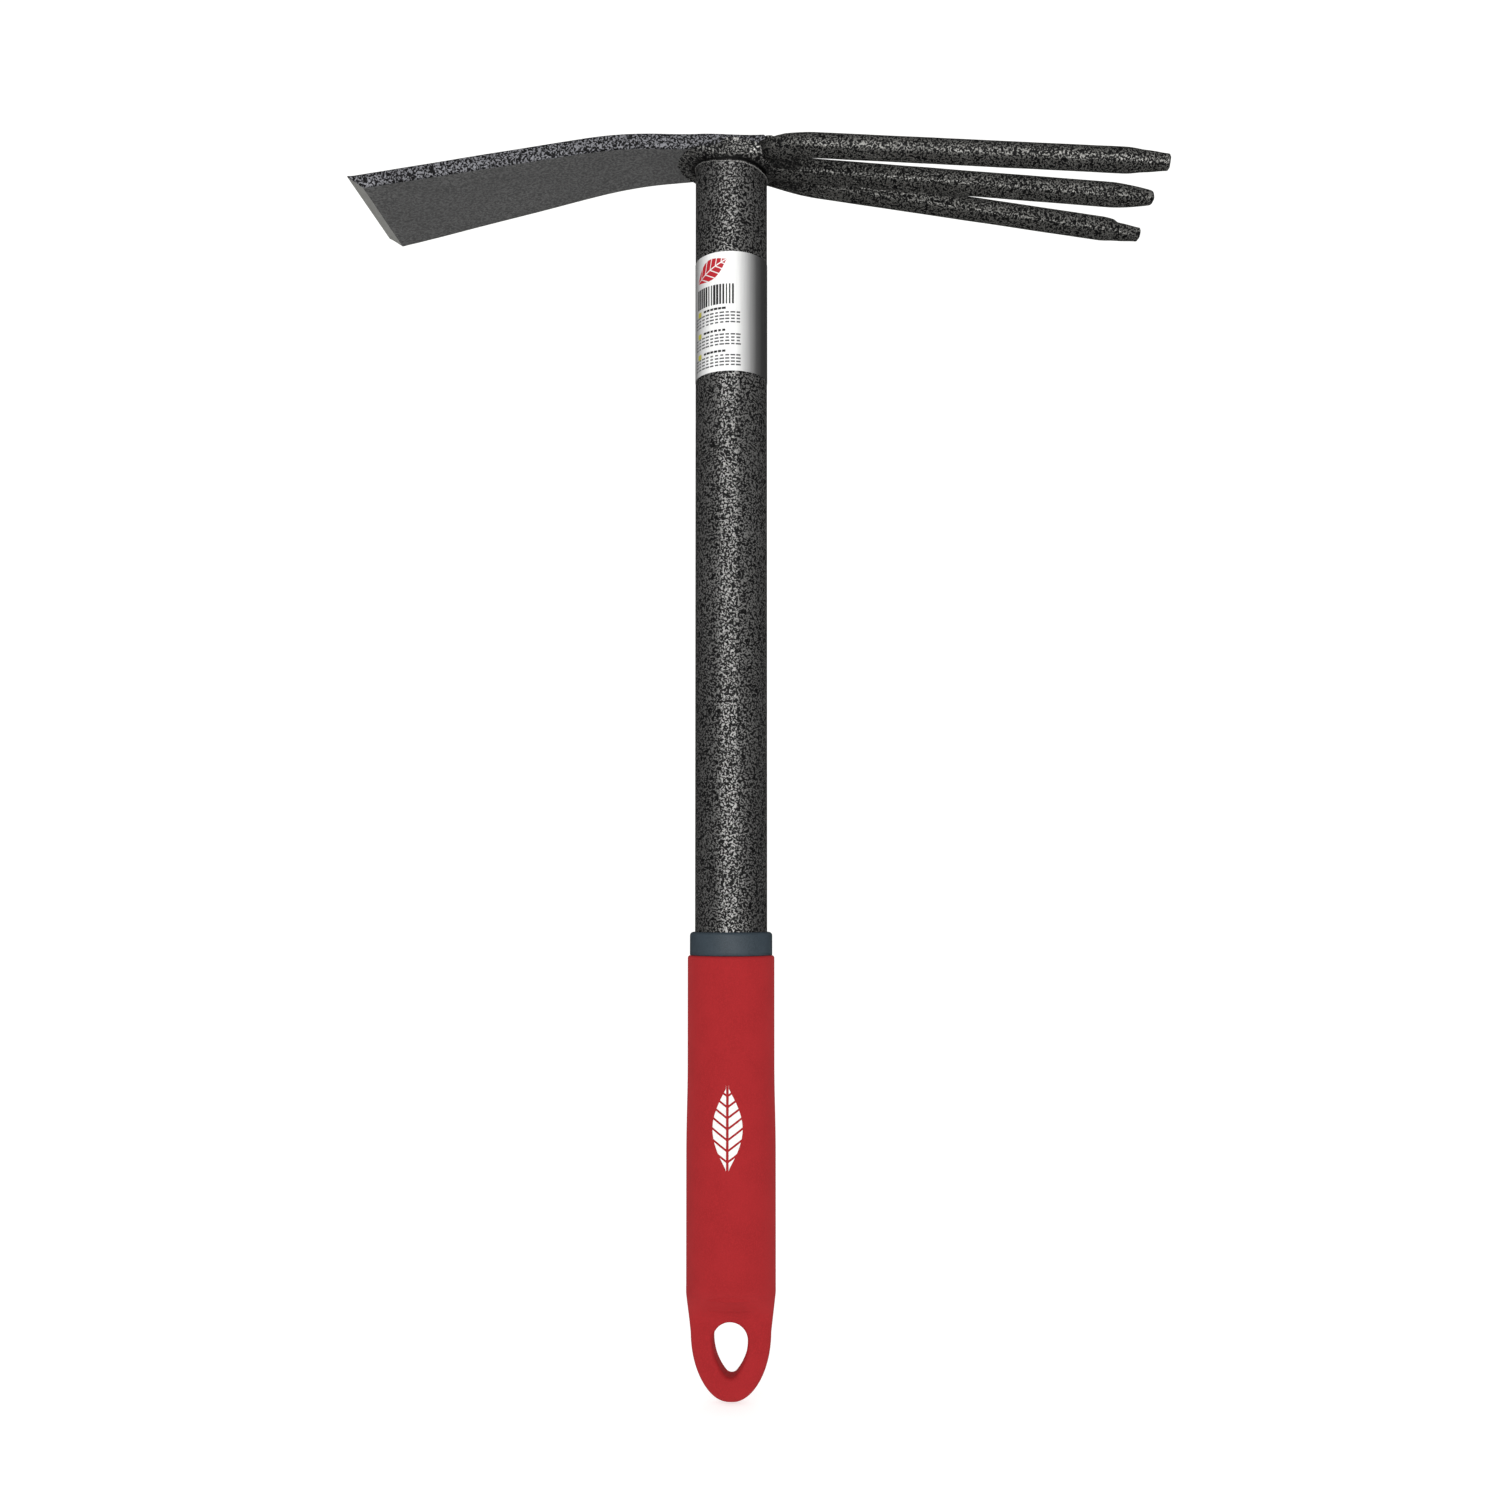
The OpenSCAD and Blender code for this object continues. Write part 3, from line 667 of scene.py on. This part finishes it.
def tube_bead():
    """Fillet bead round the tube under the bar. It runs further out along the bar than beside it,
    climbs a little up the bar's two sides, and reaches lowest on the tine side. A thin lip of its
    toe stands proud of the tube, with a hollow above it."""
    around, across = 420, 34
    verts, run, crown, soot, wear = [], [], [], [], []
    for i in range(around):
        a = 2 * math.pi * i / around
        ca, sa = math.cos(a), math.sin(a)
        tineward, bladeward = max(0.0, ca), max(0.0, -ca)
        leg = BEAD_LEG + 1.3 * tineward ** 2 - 3.2 * bladeward ** 2
        leg += 0.4 * noise.noise(Vector((3 * ca, 3 * sa, 1.3)))
        reach = TUBE_R + BEAD_REACH + 2.8 * bladeward ** 1.5 + 1.2 * tineward
        reach += 0.5 * noise.noise(Vector((2.5 * ca, 2.5 * sa, 8.1)))
        limit = (BAR_HALF + 1.5) / max(abs(sa), 1e-6)
        beside = ease((abs(sa) - 0.72) / 0.2) * (1 if ca > 0 else ease(1 + 2.2 * ca))
        out_r = min(reach, limit)
        out_z = HEAD_Z + 0.15 + BEAD_CLIMB * beside
        if beside > 0:
            out_r = out_r * (1 - beside) + (BAR_HALF - 0.35) / max(abs(sa), 1e-6) * beside
        toe, along = (TUBE_R - 0.1, HEAD_Z - leg), (TUBE_R + 0.2, HEAD_Z - 0.66 * leg)
        belly = max(out_r + 0.9, TUBE_R + 2.4)
        bend = (min(belly, limit + 1.1), HEAD_Z - 0.42 * leg + 1.3 * beside)
        gap = 0.55 + 0.45 * ease(0.8 + 0.5 * ca)
        # painted highlight: the front of the bead, facing the lamps, is marked to be brightened in the colour
        lit = 0.9 * ease((ca + 0.15) / 0.3) * ease((0.95 - ca) / 0.3) if sa < 0 else 0.0
        for j in range(across):
            t = j / (across - 1)
            u = 1 - t
            q = [u ** 3 * c0 + 3 * u * u * t * c1 + 3 * u * t * t * c2 + t ** 3 * c3
                 for c0, c1, c2, c3 in zip(toe, along, bend, (out_r, out_z))]
            lip = math.exp(-((t - 0.055) / 0.04) ** 2)
            hollow = gap * math.exp(-((t - 0.24) / 0.12) ** 2)
            r = max(TUBE_R + 0.02, q[0] + LIP_RISE * lip - HOLLOW_DEPTH * hollow) if j else q[0]
            verts.append((r * ca, r * sa, q[1]))
            run.append((a * (TUBE_R + 3) + 0.9 * math.cos(math.pi * t)) * MM)
            crown.append(ease((t - 0.3) / 0.2) * math.sin(math.pi * t) ** 0.6)
            # painted shade: the hollow above the toe is darkened in the colour
            soot.append(min(1.0, 1.3 * hollow))
            # painted highlight: the toe's lip and the lit front lobe are brightened in the colour
            wear.append(max(1.7 * lip, lit * ease((t - 0.45) / 0.25)))
        for r, z in ((TUBE_R - 0.7, HEAD_Z + 0.6), (TUBE_R - 0.7, HEAD_Z - leg + 0.5)):
            verts.append((r * ca, r * sa, z))
            for kept in (run, crown, soot, wear):
                kept.append(0)
    n = across + 2
    faces = [(i * n + j, ((i + 1) % around) * n + j, ((i + 1) % around) * n + (j + 1) % n, i * n + (j + 1) % n)
             for i in range(around) for j in range(n)]
    mesh = cleaned(mesh_from("tube_bead_base", verts, faces))
    marked(mesh, run=run, crown=crown, soot=soot, wear=wear)
    o = grown("tube_fillet_bead", RIPPLES, {
        "Ripple spacing": 2.1 * MM, "Ripple height": 0.13 * MM, "Lump size": 4 * MM, "Lump height": 0.7 * MM,
        "Finish": WELD_COAT}, mesh, 60)
    return settle(o, "weld_metal", "tube_weld")


def poured(node, puff, grain=0.32, rounds=5):
    """A rounded, run-together copy of a weld's CAD solid, swollen by puff mm: a plain mesh."""
    o = in_scene(node + "_poured", cleaned(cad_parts[node].data.copy(), 1e-6, outward=False))
    voxels = o.modifiers.new("voxels", "REMESH")
    voxels.mode, voxels.voxel_size = "VOXEL", grain * MM
    smooth = o.modifiers.new("smooth", "SMOOTH")
    smooth.factor, smooth.iterations = 0.5, rounds
    swell = o.modifiers.new("swell", "DISPLACE")
    swell.strength, swell.mid_level = puff * MM, 0.0
    made = worked(o)
    bpy.data.objects.remove(o)
    return made


def small_weld(name, node, finish, axis, puff, spacing, press):
    """A web or cap weld: its poured shape with ripples along the given axis, its part above the
    bar's underside pressed down to the share given."""
    mesh = poured(node, puff)
    co = np.zeros(len(mesh.vertices) * 3)
    mesh.vertices.foreach_get("co", co)
    co = co.reshape(-1, 3)
    above = co[:, 2] > HEAD_Z * MM
    co[above, 2] = HEAD_Z * MM + press * (co[above, 2] - HEAD_Z * MM)
    mesh.vertices.foreach_set("co", co.ravel())
    marked(mesh, run=co[:, axis], crown=np.ones(len(co)))
    o = grown(name, RIPPLES, {
        "Ripple spacing": spacing * MM, "Ripple height": 0.1 * MM, "Lump size": 3.5 * MM, "Lump height": 0.55 * MM,
        "Finish": finish}, mesh, 60)
    return settle(o, "weld_metal", node)


# ------------------------------------------------------------------ grip
def grip_radius(z):
    """Radius of the grip's round part: straight, then eased in towards the head."""
    return GRIP_R - (GRIP_R - GRIP_TOP_R) * ease((z - DRAW_FROM) / DRAW_RUN)


def tail_section(z, n):
    """Ring of the tail at z: a circle that widens into a soft pad, flat on its two faces."""
    drop = TAIL_TOP - z
    if drop < TAIL_TAPER:
        wide = GRIP_R + (TAIL_HALF - GRIP_R) * max(0.0, drop) / TAIL_TAPER
    else:
        full = TAIL_TOP - TAIL_TAPER - TAIL_END
        share = min(1.0, (drop - TAIL_TAPER) / full)
        wide = TAIL_HALF * max(0.0, 1 - share ** TAIL_ROUND) ** (1 / TAIL_ROUND)
    flat = ease((drop + 5) / 15)
    high = GRIP_R + (TAIL_THICK - GRIP_R) * flat
    up = (z - TAIL_END) / NOSE
    if up < 1:
        high *= max(0.0, 1 - (1 - up) ** NOSE_POWER) ** (1 / NOSE_POWER)
    square = 2.0 + 1.2 * flat
    ring = []
    for a in np.linspace(0, 2 * math.pi, n, endpoint=False):
        ca, sa = math.cos(a), math.sin(a)
        k = (abs(ca) ** square + abs(sa) ** square) ** (-1 / square)
        ring.append((wide * k * ca, high * k * sa, z))
    return ring


def egg_ring(grow, y):
    """The hang hole's egg outline at y, grown outwards: a half circle above, a small circle
    below, and two wide arcs that touch both."""
    gap = HOLE_H - HOLE_R - HOLE_END_R
    side_r = (gap ** 2 + HOLE_R ** 2 - HOLE_END_R ** 2) / (2 * (HOLE_R - HOLE_END_R))
    side_x = side_r - HOLE_R
    lean = math.atan2(gap, side_x)
    outline = [(0.0, 0.0, HOLE_R, a) for a in np.linspace(0, math.pi, 36)]
    outline += [(side_x, 0.0, side_r, math.pi + a) for a in np.linspace(0, lean, 22)[1:]]
    outline += [(0.0, -gap, HOLE_END_R, math.pi + a) for a in np.linspace(lean, math.pi - lean, 14)[1:-1]]
    outline += [(-side_x, 0.0, side_r, 2 * math.pi - a) for a in np.linspace(lean, 0, 22)[:-1]]
    return [(cx + (r + grow) * math.cos(a), y, HOLE_TOP - HOLE_R + cz + (r + grow) * math.sin(a))
            for cx, cz, r, a in outline]


def rim_grow(depth):
    """How much the hole has opened, depth mm into its rolled rim."""
    depth = min(HOLE_RIM, max(0.0, depth))
    return HOLE_RIM - math.sqrt(max(0.0, HOLE_RIM ** 2 - depth ** 2))


def grip_sleeve():
    """Soft outer sleeve: round grip, small lip at its top, flattened tail with a rolled hang hole."""
    n = 128
    full = TAIL_TOP - 6 - TAIL_END
    rings = [tail_section(TAIL_END + full * (1 - math.cos(a)), n) for a in np.linspace(0.05, math.pi / 2, 46)]
    rings += [tail_section(z, n) for z in np.linspace(TAIL_TOP - 5.5, TAIL_TOP + 4, 14)]
    heights = list(np.linspace(TAIL_TOP + 5, 20, 12)) + list(np.linspace(22, 54, 14))
    heights += list(np.linspace(58, GRIP_TOP - LIP - 2, 7))
    profile = [(grip_radius(z), z) for z in heights]
    profile += arc(GRIP_TOP_R - LIP, GRIP_TOP - LIP, LIP, 0, 90, 8)
    profile += [(CORE_R, GRIP_TOP), (CORE_R, GRIP_TOP - 4), (CORE_R, 0.0), (CORE_R, TAIL_TOP)]
    rings += [circle(r, z, n) for r, z in profile]
    verts, faces = skin(rings, (0, 0, TAIL_END), (0, 0, TAIL_TOP))
    sleeve = piece_from("uncut_sleeve", verts, faces, RED_GRIP, sharp=50)

    wall = TAIL_THICK - HOLE_RIM
    cuts = [(rim_grow(y - wall), y) for y in np.linspace(wall, TAIL_THICK, 9)]
    cuts += [(HOLE_RIM + 2.2, TAIL_THICK + 0.6), (HOLE_RIM + 6, TAIL_THICK + 3)]
    ys = [(g, -y) for g, y in reversed(cuts)] + [(0.0, y) for y in np.linspace(-wall, wall, 7)[1:-1]] + cuts
    verts, faces = skin([egg_ring(g, y) for g, y in ys], "flat", "flat")
    plug = piece_from("hole_plug", verts, faces, RED_GRIP)
    cut = sleeve.modifiers.new("hang hole", "BOOLEAN")
    cut.operation, cut.solver, cut.object = "DIFFERENCE", "EXACT", plug
    mesh = worked(sleeve)
    for spare in (sleeve, plug):
        bpy.data.objects.remove(spare)
    return settle(placed("soft_grip_sleeve", mesh, 50), "red_rubber", "grip_sleeve")


def grip_core():
    """Hard inner sleeve: a cup that lines the grip and shows above it as a collar with a rounded shoulder."""
    shoulder, fit = 1.3, 0.03
    floor_z, bore = TAIL_TOP + fit, TUBE_R + fit
    profile = [(CORE_R - fit, floor_z), (CORE_R - fit, GRIP_TOP - 1.0), (CORE_R - fit, GRIP_TOP + 0.05)]
    profile += [(COLLAR_R - 0.15, GRIP_TOP + 0.05), (COLLAR_R, GRIP_TOP + 0.25)]
    profile += [(COLLAR_R, z) for z in np.linspace(GRIP_TOP + 1.5, COLLAR_TOP - shoulder - 0.4, 4)]
    profile += arc(COLLAR_R - shoulder, COLLAR_TOP - shoulder, shoulder, 0, 90, 9)
    profile += [(bore + 0.3, COLLAR_TOP), (bore, COLLAR_TOP - 0.25), (bore, TUBE_LO.z)]
    verts, faces = turned(profile, 128, (0, 0, floor_z), (0, 0, TUBE_LO.z))
    return settle(piece_from("grip_core_collar", verts, faces, SLATE, sharp=55), "slate_plastic", "grip_core")


# ------------------------------------------------------------------ label
def label_film():
    """Wrap-round film: it goes once round and overlaps itself at the back."""
    steps, rows = 160, 3
    first, turn, lapped = math.radians(100), 2 * math.pi, math.radians(16)
    lo, hi = LABEL_LO.z, LABEL_HI.z
    rings, share = [], []
    for i in range(steps + 1):
        a = first + (turn + lapped) * i / steps
        lift = FILM * ease((a - first - turn) / lapped * 2.5)
        inner, outer = TUBE_R + 0.01 + lift, LABEL_R + lift
        zs = list(np.linspace(lo, hi, rows))
        loop = [(outer, z) for z in zs] + [(inner, z) for z in reversed(zs)]
        rings.append([(r * math.cos(a), r * math.sin(a), z) for r, z in loop])
        share.append((a - first) / turn)
    verts, faces = skin(rings, "flat", "flat")
    o = piece_from("label_wrap", verts, faces, FILM_FINISH, merge=None)
    wrap = o.data.uv_layers.new(name="wrap")
    per_ring = 2 * rows
    for loop in o.data.loops:
        v = loop.vertex_index
        wrap.data[loop.index].uv = (share[v // per_ring], (verts[v][2] - lo) / (hi - lo))
    return settle(o, "label_film", "label")


def printed_strips():
    """Geometry Nodes tree: rows of thin printed strips of uneven width, wrapped round the label.
    Flat x goes round the tube, y up it, and z is the ink's height."""
    tree = bpy.data.node_groups.new("printed_strips", "GeometryNodeTree")
    face = tree.interface
    for label, kind in (("Columns", "Int"), ("Rows", "Int"), ("Block width", "Float"), ("Block height", "Float"),
                        ("Narrowest", "Float"), ("Widest", "Float"), ("Strip height", "Float"), ("Ink", "Float"),
                        ("Film radius", "Float"), ("Middle x", "Float"), ("Middle z", "Float"), ("Seed", "Int"),
                        ("Finish", "Material")):
        face.new_socket(label, in_out="INPUT", socket_type="NodeSocket" + kind)
    face.new_socket("Geometry", in_out="OUTPUT", socket_type="NodeSocketGeometry")
    given = add(tree, "NodeGroupInput").outputs
    places = add(tree, "GeometryNodeMeshGrid", inputs={
        "Size X": given["Block width"], "Size Y": given["Block height"],
        "Vertices X": given["Columns"], "Vertices Y": given["Rows"]}).outputs[0]
    strip = add(tree, "GeometryNodeMeshCube", inputs={
        "Size": (1.0, 1.0, 1.0), "Vertices X": 4, "Vertices Y": 2, "Vertices Z": 2}).outputs[0]
    width = add(tree, "FunctionNodeRandomValue", {"data_type": "FLOAT"},
                {2: given["Narrowest"], 3: given["Widest"], "Seed": given["Seed"]}).outputs[1]
    size = add(tree, "ShaderNodeCombineXYZ", inputs={0: width, 1: given["Strip height"], 2: given["Ink"]}).outputs[0]
    laid = add(tree, "GeometryNodeInstanceOnPoints",
               inputs={"Points": places, "Instance": strip, "Scale": size}).outputs[0]
    real = add(tree, "GeometryNodeRealizeInstances", inputs={0: laid}).outputs[0]
    flat = add(tree, "ShaderNodeSeparateXYZ", inputs={0: add(tree, "GeometryNodeInputPosition").outputs[0]}).outputs
    along = add(tree, "ShaderNodeMath", {"operation": "ADD"}, {0: flat[0], 1: given["Middle x"]}).outputs[0]
    swept = add(tree, "ShaderNodeMath", {"operation": "DIVIDE"}, {0: along, 1: given["Film radius"]}).outputs[0]
    angle = add(tree, "ShaderNodeMath", {"operation": "SUBTRACT"}, {0: swept, 1: math.pi / 2}).outputs[0]
    radius = add(tree, "ShaderNodeMath", {"operation": "ADD"}, {0: flat[2], 1: given["Film radius"]}).outputs[0]
    cosine = add(tree, "ShaderNodeMath", {"operation": "COSINE"}, {0: angle}).outputs[0]
    sine = add(tree, "ShaderNodeMath", {"operation": "SINE"}, {0: angle}).outputs[0]
    x = add(tree, "ShaderNodeMath", {"operation": "MULTIPLY"}, {0: radius, 1: cosine}).outputs[0]
    y = add(tree, "ShaderNodeMath", {"operation": "MULTIPLY"}, {0: radius, 1: sine}).outputs[0]
    z = add(tree, "ShaderNodeMath", {"operation": "ADD"}, {0: flat[1], 1: given["Middle z"]}).outputs[0]
    there = add(tree, "ShaderNodeCombineXYZ", inputs={0: x, 1: y, 2: z}).outputs[0]
    wrapped = add(tree, "GeometryNodeSetPosition", inputs={"Geometry": real, "Position": there}).outputs[0]
    done = add(tree, "GeometryNodeSetMaterial", inputs={"Geometry": wrapped, "Material": given["Finish"]}).outputs[0]
    add(tree, "NodeGroupOutput", inputs={"Geometry": done})
    return tree


def label_print():
    """Plain bars, rows of grey dashes and small olive marks, printed on the label's left half.
    A block is: name, ink, columns, rows, width and height, narrowest and widest strip, strip
    height, middle round the tube and above the label's foot, and seed, with sizes in mm."""
    tree = printed_strips()
    base = LABEL_LO.z
    ink = {"Ink": LABEL_INK * MM, "Film radius": LABEL_R * MM}
    blocks = [("bars", BLACK_INK, 14, 1, 14.6, 0.0, 0.3, 0.9, 7.0, -5.7, 27.0, 3)]
    for k, z in enumerate((20.4, 12.7, 5.4)):
        blocks.append((f"heading_{k}", BLACK_INK, 6, 1, 7.6, 0.0, 0.9, 1.5, 0.75, -5.4, z + 1.6, 20 + k))
        blocks.append((f"lines_{k}", GREY_INK, 10, 4, 17.4, 3.4, 1.0, 1.8, 0.52, -5.2, z - 1.6, 30 + k))
        blocks.append((f"mark_{k}", OLIVE_INK, 1, 1, 0.0, 0.0, 2.0, 2.0, 1.7, -12.2, z + 1.3, 40 + k))
    parts = []
    for name, finish, columns, rows, wide, high, least, most, tall, x, z, seed in blocks:
        parts.append(grown(name, tree, {
            "Columns": columns, "Rows": rows, "Block width": wide * MM, "Block height": high * MM,
            "Narrowest": least * MM, "Widest": most * MM, "Strip height": tall * MM, "Middle x": x * MM,
            "Middle z": (base + z) * MM, "Seed": seed, "Finish": finish, **ink}))
    whole = bmesh.new()
    finishes = []
    for o in parts:
        m = o.data.materials[0]
        if m not in finishes:
            finishes.append(m)
        start = len(whole.faces)
        whole.from_mesh(o.data)
        whole.faces.ensure_lookup_table()
        for f in whole.faces[start:]:
            f.material_index = finishes.index(m)
        bpy.data.objects.remove(o)
    mesh = bpy.data.meshes.new("label_print")
    whole.to_mesh(mesh)
    whole.free()
    for m in finishes:
        mesh.materials.append(m)
    return settle(placed("label_print", mesh), "label_film")


# ------------------------------------------------------------------ leaf emblems
NARROWEST_CELL = 0.35
VEIN_SLANT = 0.75


def leaf_cells(length, width, bands, gap, slant):
    """Flat cells of a veined leaf along +y, as grids of (x, y): a row of slanted cells on each side of a rib."""
    def half(y):
        return 0.5 * width * max(0.0, math.sin(math.pi * min(1.0, max(0.0, y / length + 0.5)))) ** 1.1

    step = length / bands
    cells = []
    for k in range(bands):
        grid = []
        for y0 in np.linspace(-length / 2 + k * step + gap / 2, -length / 2 + (k + 1) * step - gap / 2, 6):
            outer = gap / 2
            for x in np.linspace(gap / 2, width / 2, 120):
                if x <= half(y0 + slant * x):
                    outer = x
            grid.append([(x, y0 + slant * x) for x in np.linspace(gap / 2, outer, 5)])
        if max(row[-1][0] - row[0][0] for row in grid) > NARROWEST_CELL:
            cells.append([[row[0]] + [(max(p[0], row[0][0] + 0.01 * i), p[1]) for i, p in enumerate(row[1:], 1)]
                          for row in grid])
    return cells + [[[(-x, y) for x, y in row] for row in cell] for cell in cells]


def slab(inner, outer):
    """A thin closed plate between two grids of points."""
    rows, cols = len(inner), len(inner[0])
    verts = [p for grid in (outer, inner) for row in grid for p in row]

    def at(layer, i, j):
        return layer * rows * cols + i * cols + j

    faces = []
    for i in range(rows - 1):
        for j in range(cols - 1):
            faces.append((at(0, i, j), at(0, i, j + 1), at(0, i + 1, j + 1), at(0, i + 1, j)))
            faces.append((at(1, i, j), at(1, i + 1, j), at(1, i + 1, j + 1), at(1, i, j + 1)))
    rim = [(0, j) for j in range(cols)] + [(i, cols - 1) for i in range(1, rows)]
    rim += [(rows - 1, j) for j in range(cols - 2, -1, -1)] + [(i, 0) for i in range(rows - 2, 0, -1)]
    for (a, b), (c, d) in zip(rim, rim[1:] + rim[:1]):
        faces.append((at(0, a, b), at(1, a, b), at(1, c, d), at(0, c, d)))
    return verts, faces


def leaf(name, length, width, middle_x, middle_z, lean, radius_at, bands, ink, finish, slot, node, gap):
    """A printed leaf laid on a round surface: radius_at gives the surface's radius at a height."""
    verts, faces = [], []
    c, s = math.cos(lean), math.sin(lean)

    def laid(x, y, lift):
        px, pz = middle_x + x * c - y * s, middle_z + x * s + y * c
        r = radius_at(pz)
        a = px / r - math.pi / 2
        return ((r + lift) * math.cos(a), (r + lift) * math.sin(a), pz)

    for cell in leaf_cells(length, width, bands, gap, VEIN_SLANT):
        inner = [[laid(x, y, -ink) for x, y in row] for row in cell]
        outer = [[laid(x, y, ink) for x, y in row] for row in cell]
        v, f = slab(inner, outer)
        faces += [tuple(len(verts) + i for i in face) for face in f]
        verts += v
    return settle(piece_from(name, verts, faces, finish, sharp=40), slot, node)


handle_tube()
hoe_blade()
tine("front_tine", -1, 1, "tine_front", 0.0)
tine("middle_tine", 0, 0, "tine_middle", 5.0)
tine("back_tine", 1, 2, "tine_back", 11.0)
tube_bead()
small_weld("front_web_weld", "web_weld_front", WEB_COAT, 0, 0.25, 1.9, 1.0)
small_weld("back_web_weld", "web_weld_back", WEB_COAT, 0, 0.25, 1.9, 1.0)
small_weld("tine_cap_weld", "cap_weld", WELD_COAT, 1, 0.3, 2.1, 0.74)
grip_sleeve()
grip_core()
label_film()
label_print()
leaf("label_leaf", 14.3, 7.2, math.radians(-31) * LABEL_R, (LABEL_LEAF_LO.z + LABEL_LEAF_HI.z) / 2,
     math.radians(-64),
     lambda z: LABEL_R, 6, LABEL_INK, RED_INK, "red_ink", "label_emblem", 0.45)
leaf("grip_leaf", EMBLEM_HI.z - EMBLEM_LO.z, 10.5, 0.0, (EMBLEM_LO.z + EMBLEM_HI.z) / 2, 0.0,
     grip_radius, 8, GRIP_INK, WHITE_INK, "white_ink", "grip_emblem", 0.9)


# ------------------------------------------------------------------ stage, light and camera
ROOM_LIGHT = 0.68


def pale_floor():
    """A plain pale floor that curves up behind the tool, so that no horizon shows."""
    floor_z, back, bend, side = TAIL_END * MM - 0.0005, 1.4, 0.9, 3.5  # in metres
    line = [(-side, floor_z), (-1.0, floor_z), (back, floor_z)]
    line += [(back + bend * math.sin(a), floor_z + bend * (1 - math.cos(a)))
             for a in np.linspace(0.05, math.pi / 2, 24)]
    line += [(back + bend, floor_z + 3.0)]
    verts = [(x, y, z) for y, z in line for x in (-side, side)]
    faces = [(2 * i, 2 * i + 1, 2 * i + 3, 2 * i + 2) for i in range(len(line) - 1)]
    mesh = bpy.data.meshes.new("floor")
    mesh.from_pydata(verts, [], faces)
    mesh.shade_smooth()
    m, tree, shader, _ = finish_named("pale_floor_paint")
    fill(shader, tree, Base_Color=linear("#bdbdbb"), Roughness=0.9, Specular_IOR_Level=0.1,
         Emission_Color=linear("#ffffff"), Emission_Strength=ROOM_LIGHT)
    mesh.materials.append(m)
    floor = in_scene("floor", mesh)
    floor.visible_glossy = False  # or black gloss would mirror it as a white veil


def soft_light(name, at, aim, wide, tall, watts):
    """A rectangular soft box, in metres and watts, turned towards aim."""
    lamp = bpy.data.lights.new(name, "AREA")
    lamp.shape, lamp.size, lamp.size_y, lamp.energy = "RECTANGLE", wide, tall, watts
    o = in_scene(name, lamp)
    o.location = at
    o.rotation_mode = "QUATERNION"
    o.rotation_quaternion = (Vector(aim) - Vector(at)).to_track_quat("-Z", "Y")
    o.visible_camera = False


def studio():
    """Even light all round for the matt grip, less of it in reflections so that round steel darkens
    towards its sides, a tall strip on each side of the camera for a highlight down the tube, and
    a wide low box for one along each rod."""
    world = bpy.data.worlds.new("studio")
    bpy.context.scene.world = world
    world.use_nodes = True
    tree = world.node_tree
    tree.nodes.clear()
    path = add(tree, "ShaderNodeLightPath").outputs
    around = add(tree, "ShaderNodeTexCoord").outputs["Generated"]
    toward = add(tree, "ShaderNodeSeparateXYZ", inputs={0: around}).outputs
    level = ranged(tree, toward[2], -0.45, 0.3, 0.12, 1.0)
    ahead = ranged(tree, toward[1], -0.9, 0.5, 0.28, 0.05)
    mirrored = add(tree, "ShaderNodeMath", {"operation": "MULTIPLY"}, {0: level, 1: ahead}).outputs[0]
    seen = add(tree, "ShaderNodeMix", {"data_type": "FLOAT"},
               {0: path["Is Glossy Ray"], 2: ROOM_LIGHT, 3: mirrored}).outputs[0]
    power = add(tree, "ShaderNodeMix", {"data_type": "FLOAT"}, {0: path["Is Camera Ray"], 2: seen, 3: 1.0}).outputs[0]
    sky = add(tree, "ShaderNodeBackground", inputs={"Color": linear("#ffffff"), "Strength": power})
    add(tree, "ShaderNodeOutputWorld", inputs={"Surface": sky.outputs[0]})
    for name, x in (("left_strip", -0.36), ("right_strip", 0.21)):
        soft_light(name, (x, -1.15, 0.42), (0.0, 0.0, 0.22), 0.15, 1.15, 2.4)
    soft_light("low_box", (0.3, -0.85, -0.005), (0.06, 0.0, 0.36), 1.2, 0.1, 1.25)


CAMERA_AT = (41.5, -509.6, 108.0)  # mm
CAMERA_TURN, CAMERA_RISE = math.radians(3.91), math.radians(1.42)
LENS, SENSOR = 34.8, 36.0  # mm


def camera():
    """In front of the lower tube, turned a little towards the blade and up towards the head."""
    data = bpy.data.cameras.new("camera")
    data.lens, data.sensor_width, data.shift_y = LENS, SENSOR, 0.08
    data.clip_start, data.clip_end = 0.01, 50.0
    o = in_scene("camera", data)
    level = math.cos(CAMERA_RISE)
    look = Vector((-math.sin(CAMERA_TURN) * level, math.cos(CAMERA_TURN) * level, math.sin(CAMERA_RISE)))
    o.location = Vector(CAMERA_AT) * MM
    o.rotation_mode = "QUATERNION"
    o.rotation_quaternion = look.to_track_quat("-Z", "Y")
    bpy.context.scene.camera = o


pale_floor()
studio()
camera()
bpy.context.scene.view_settings.view_transform = "Standard"
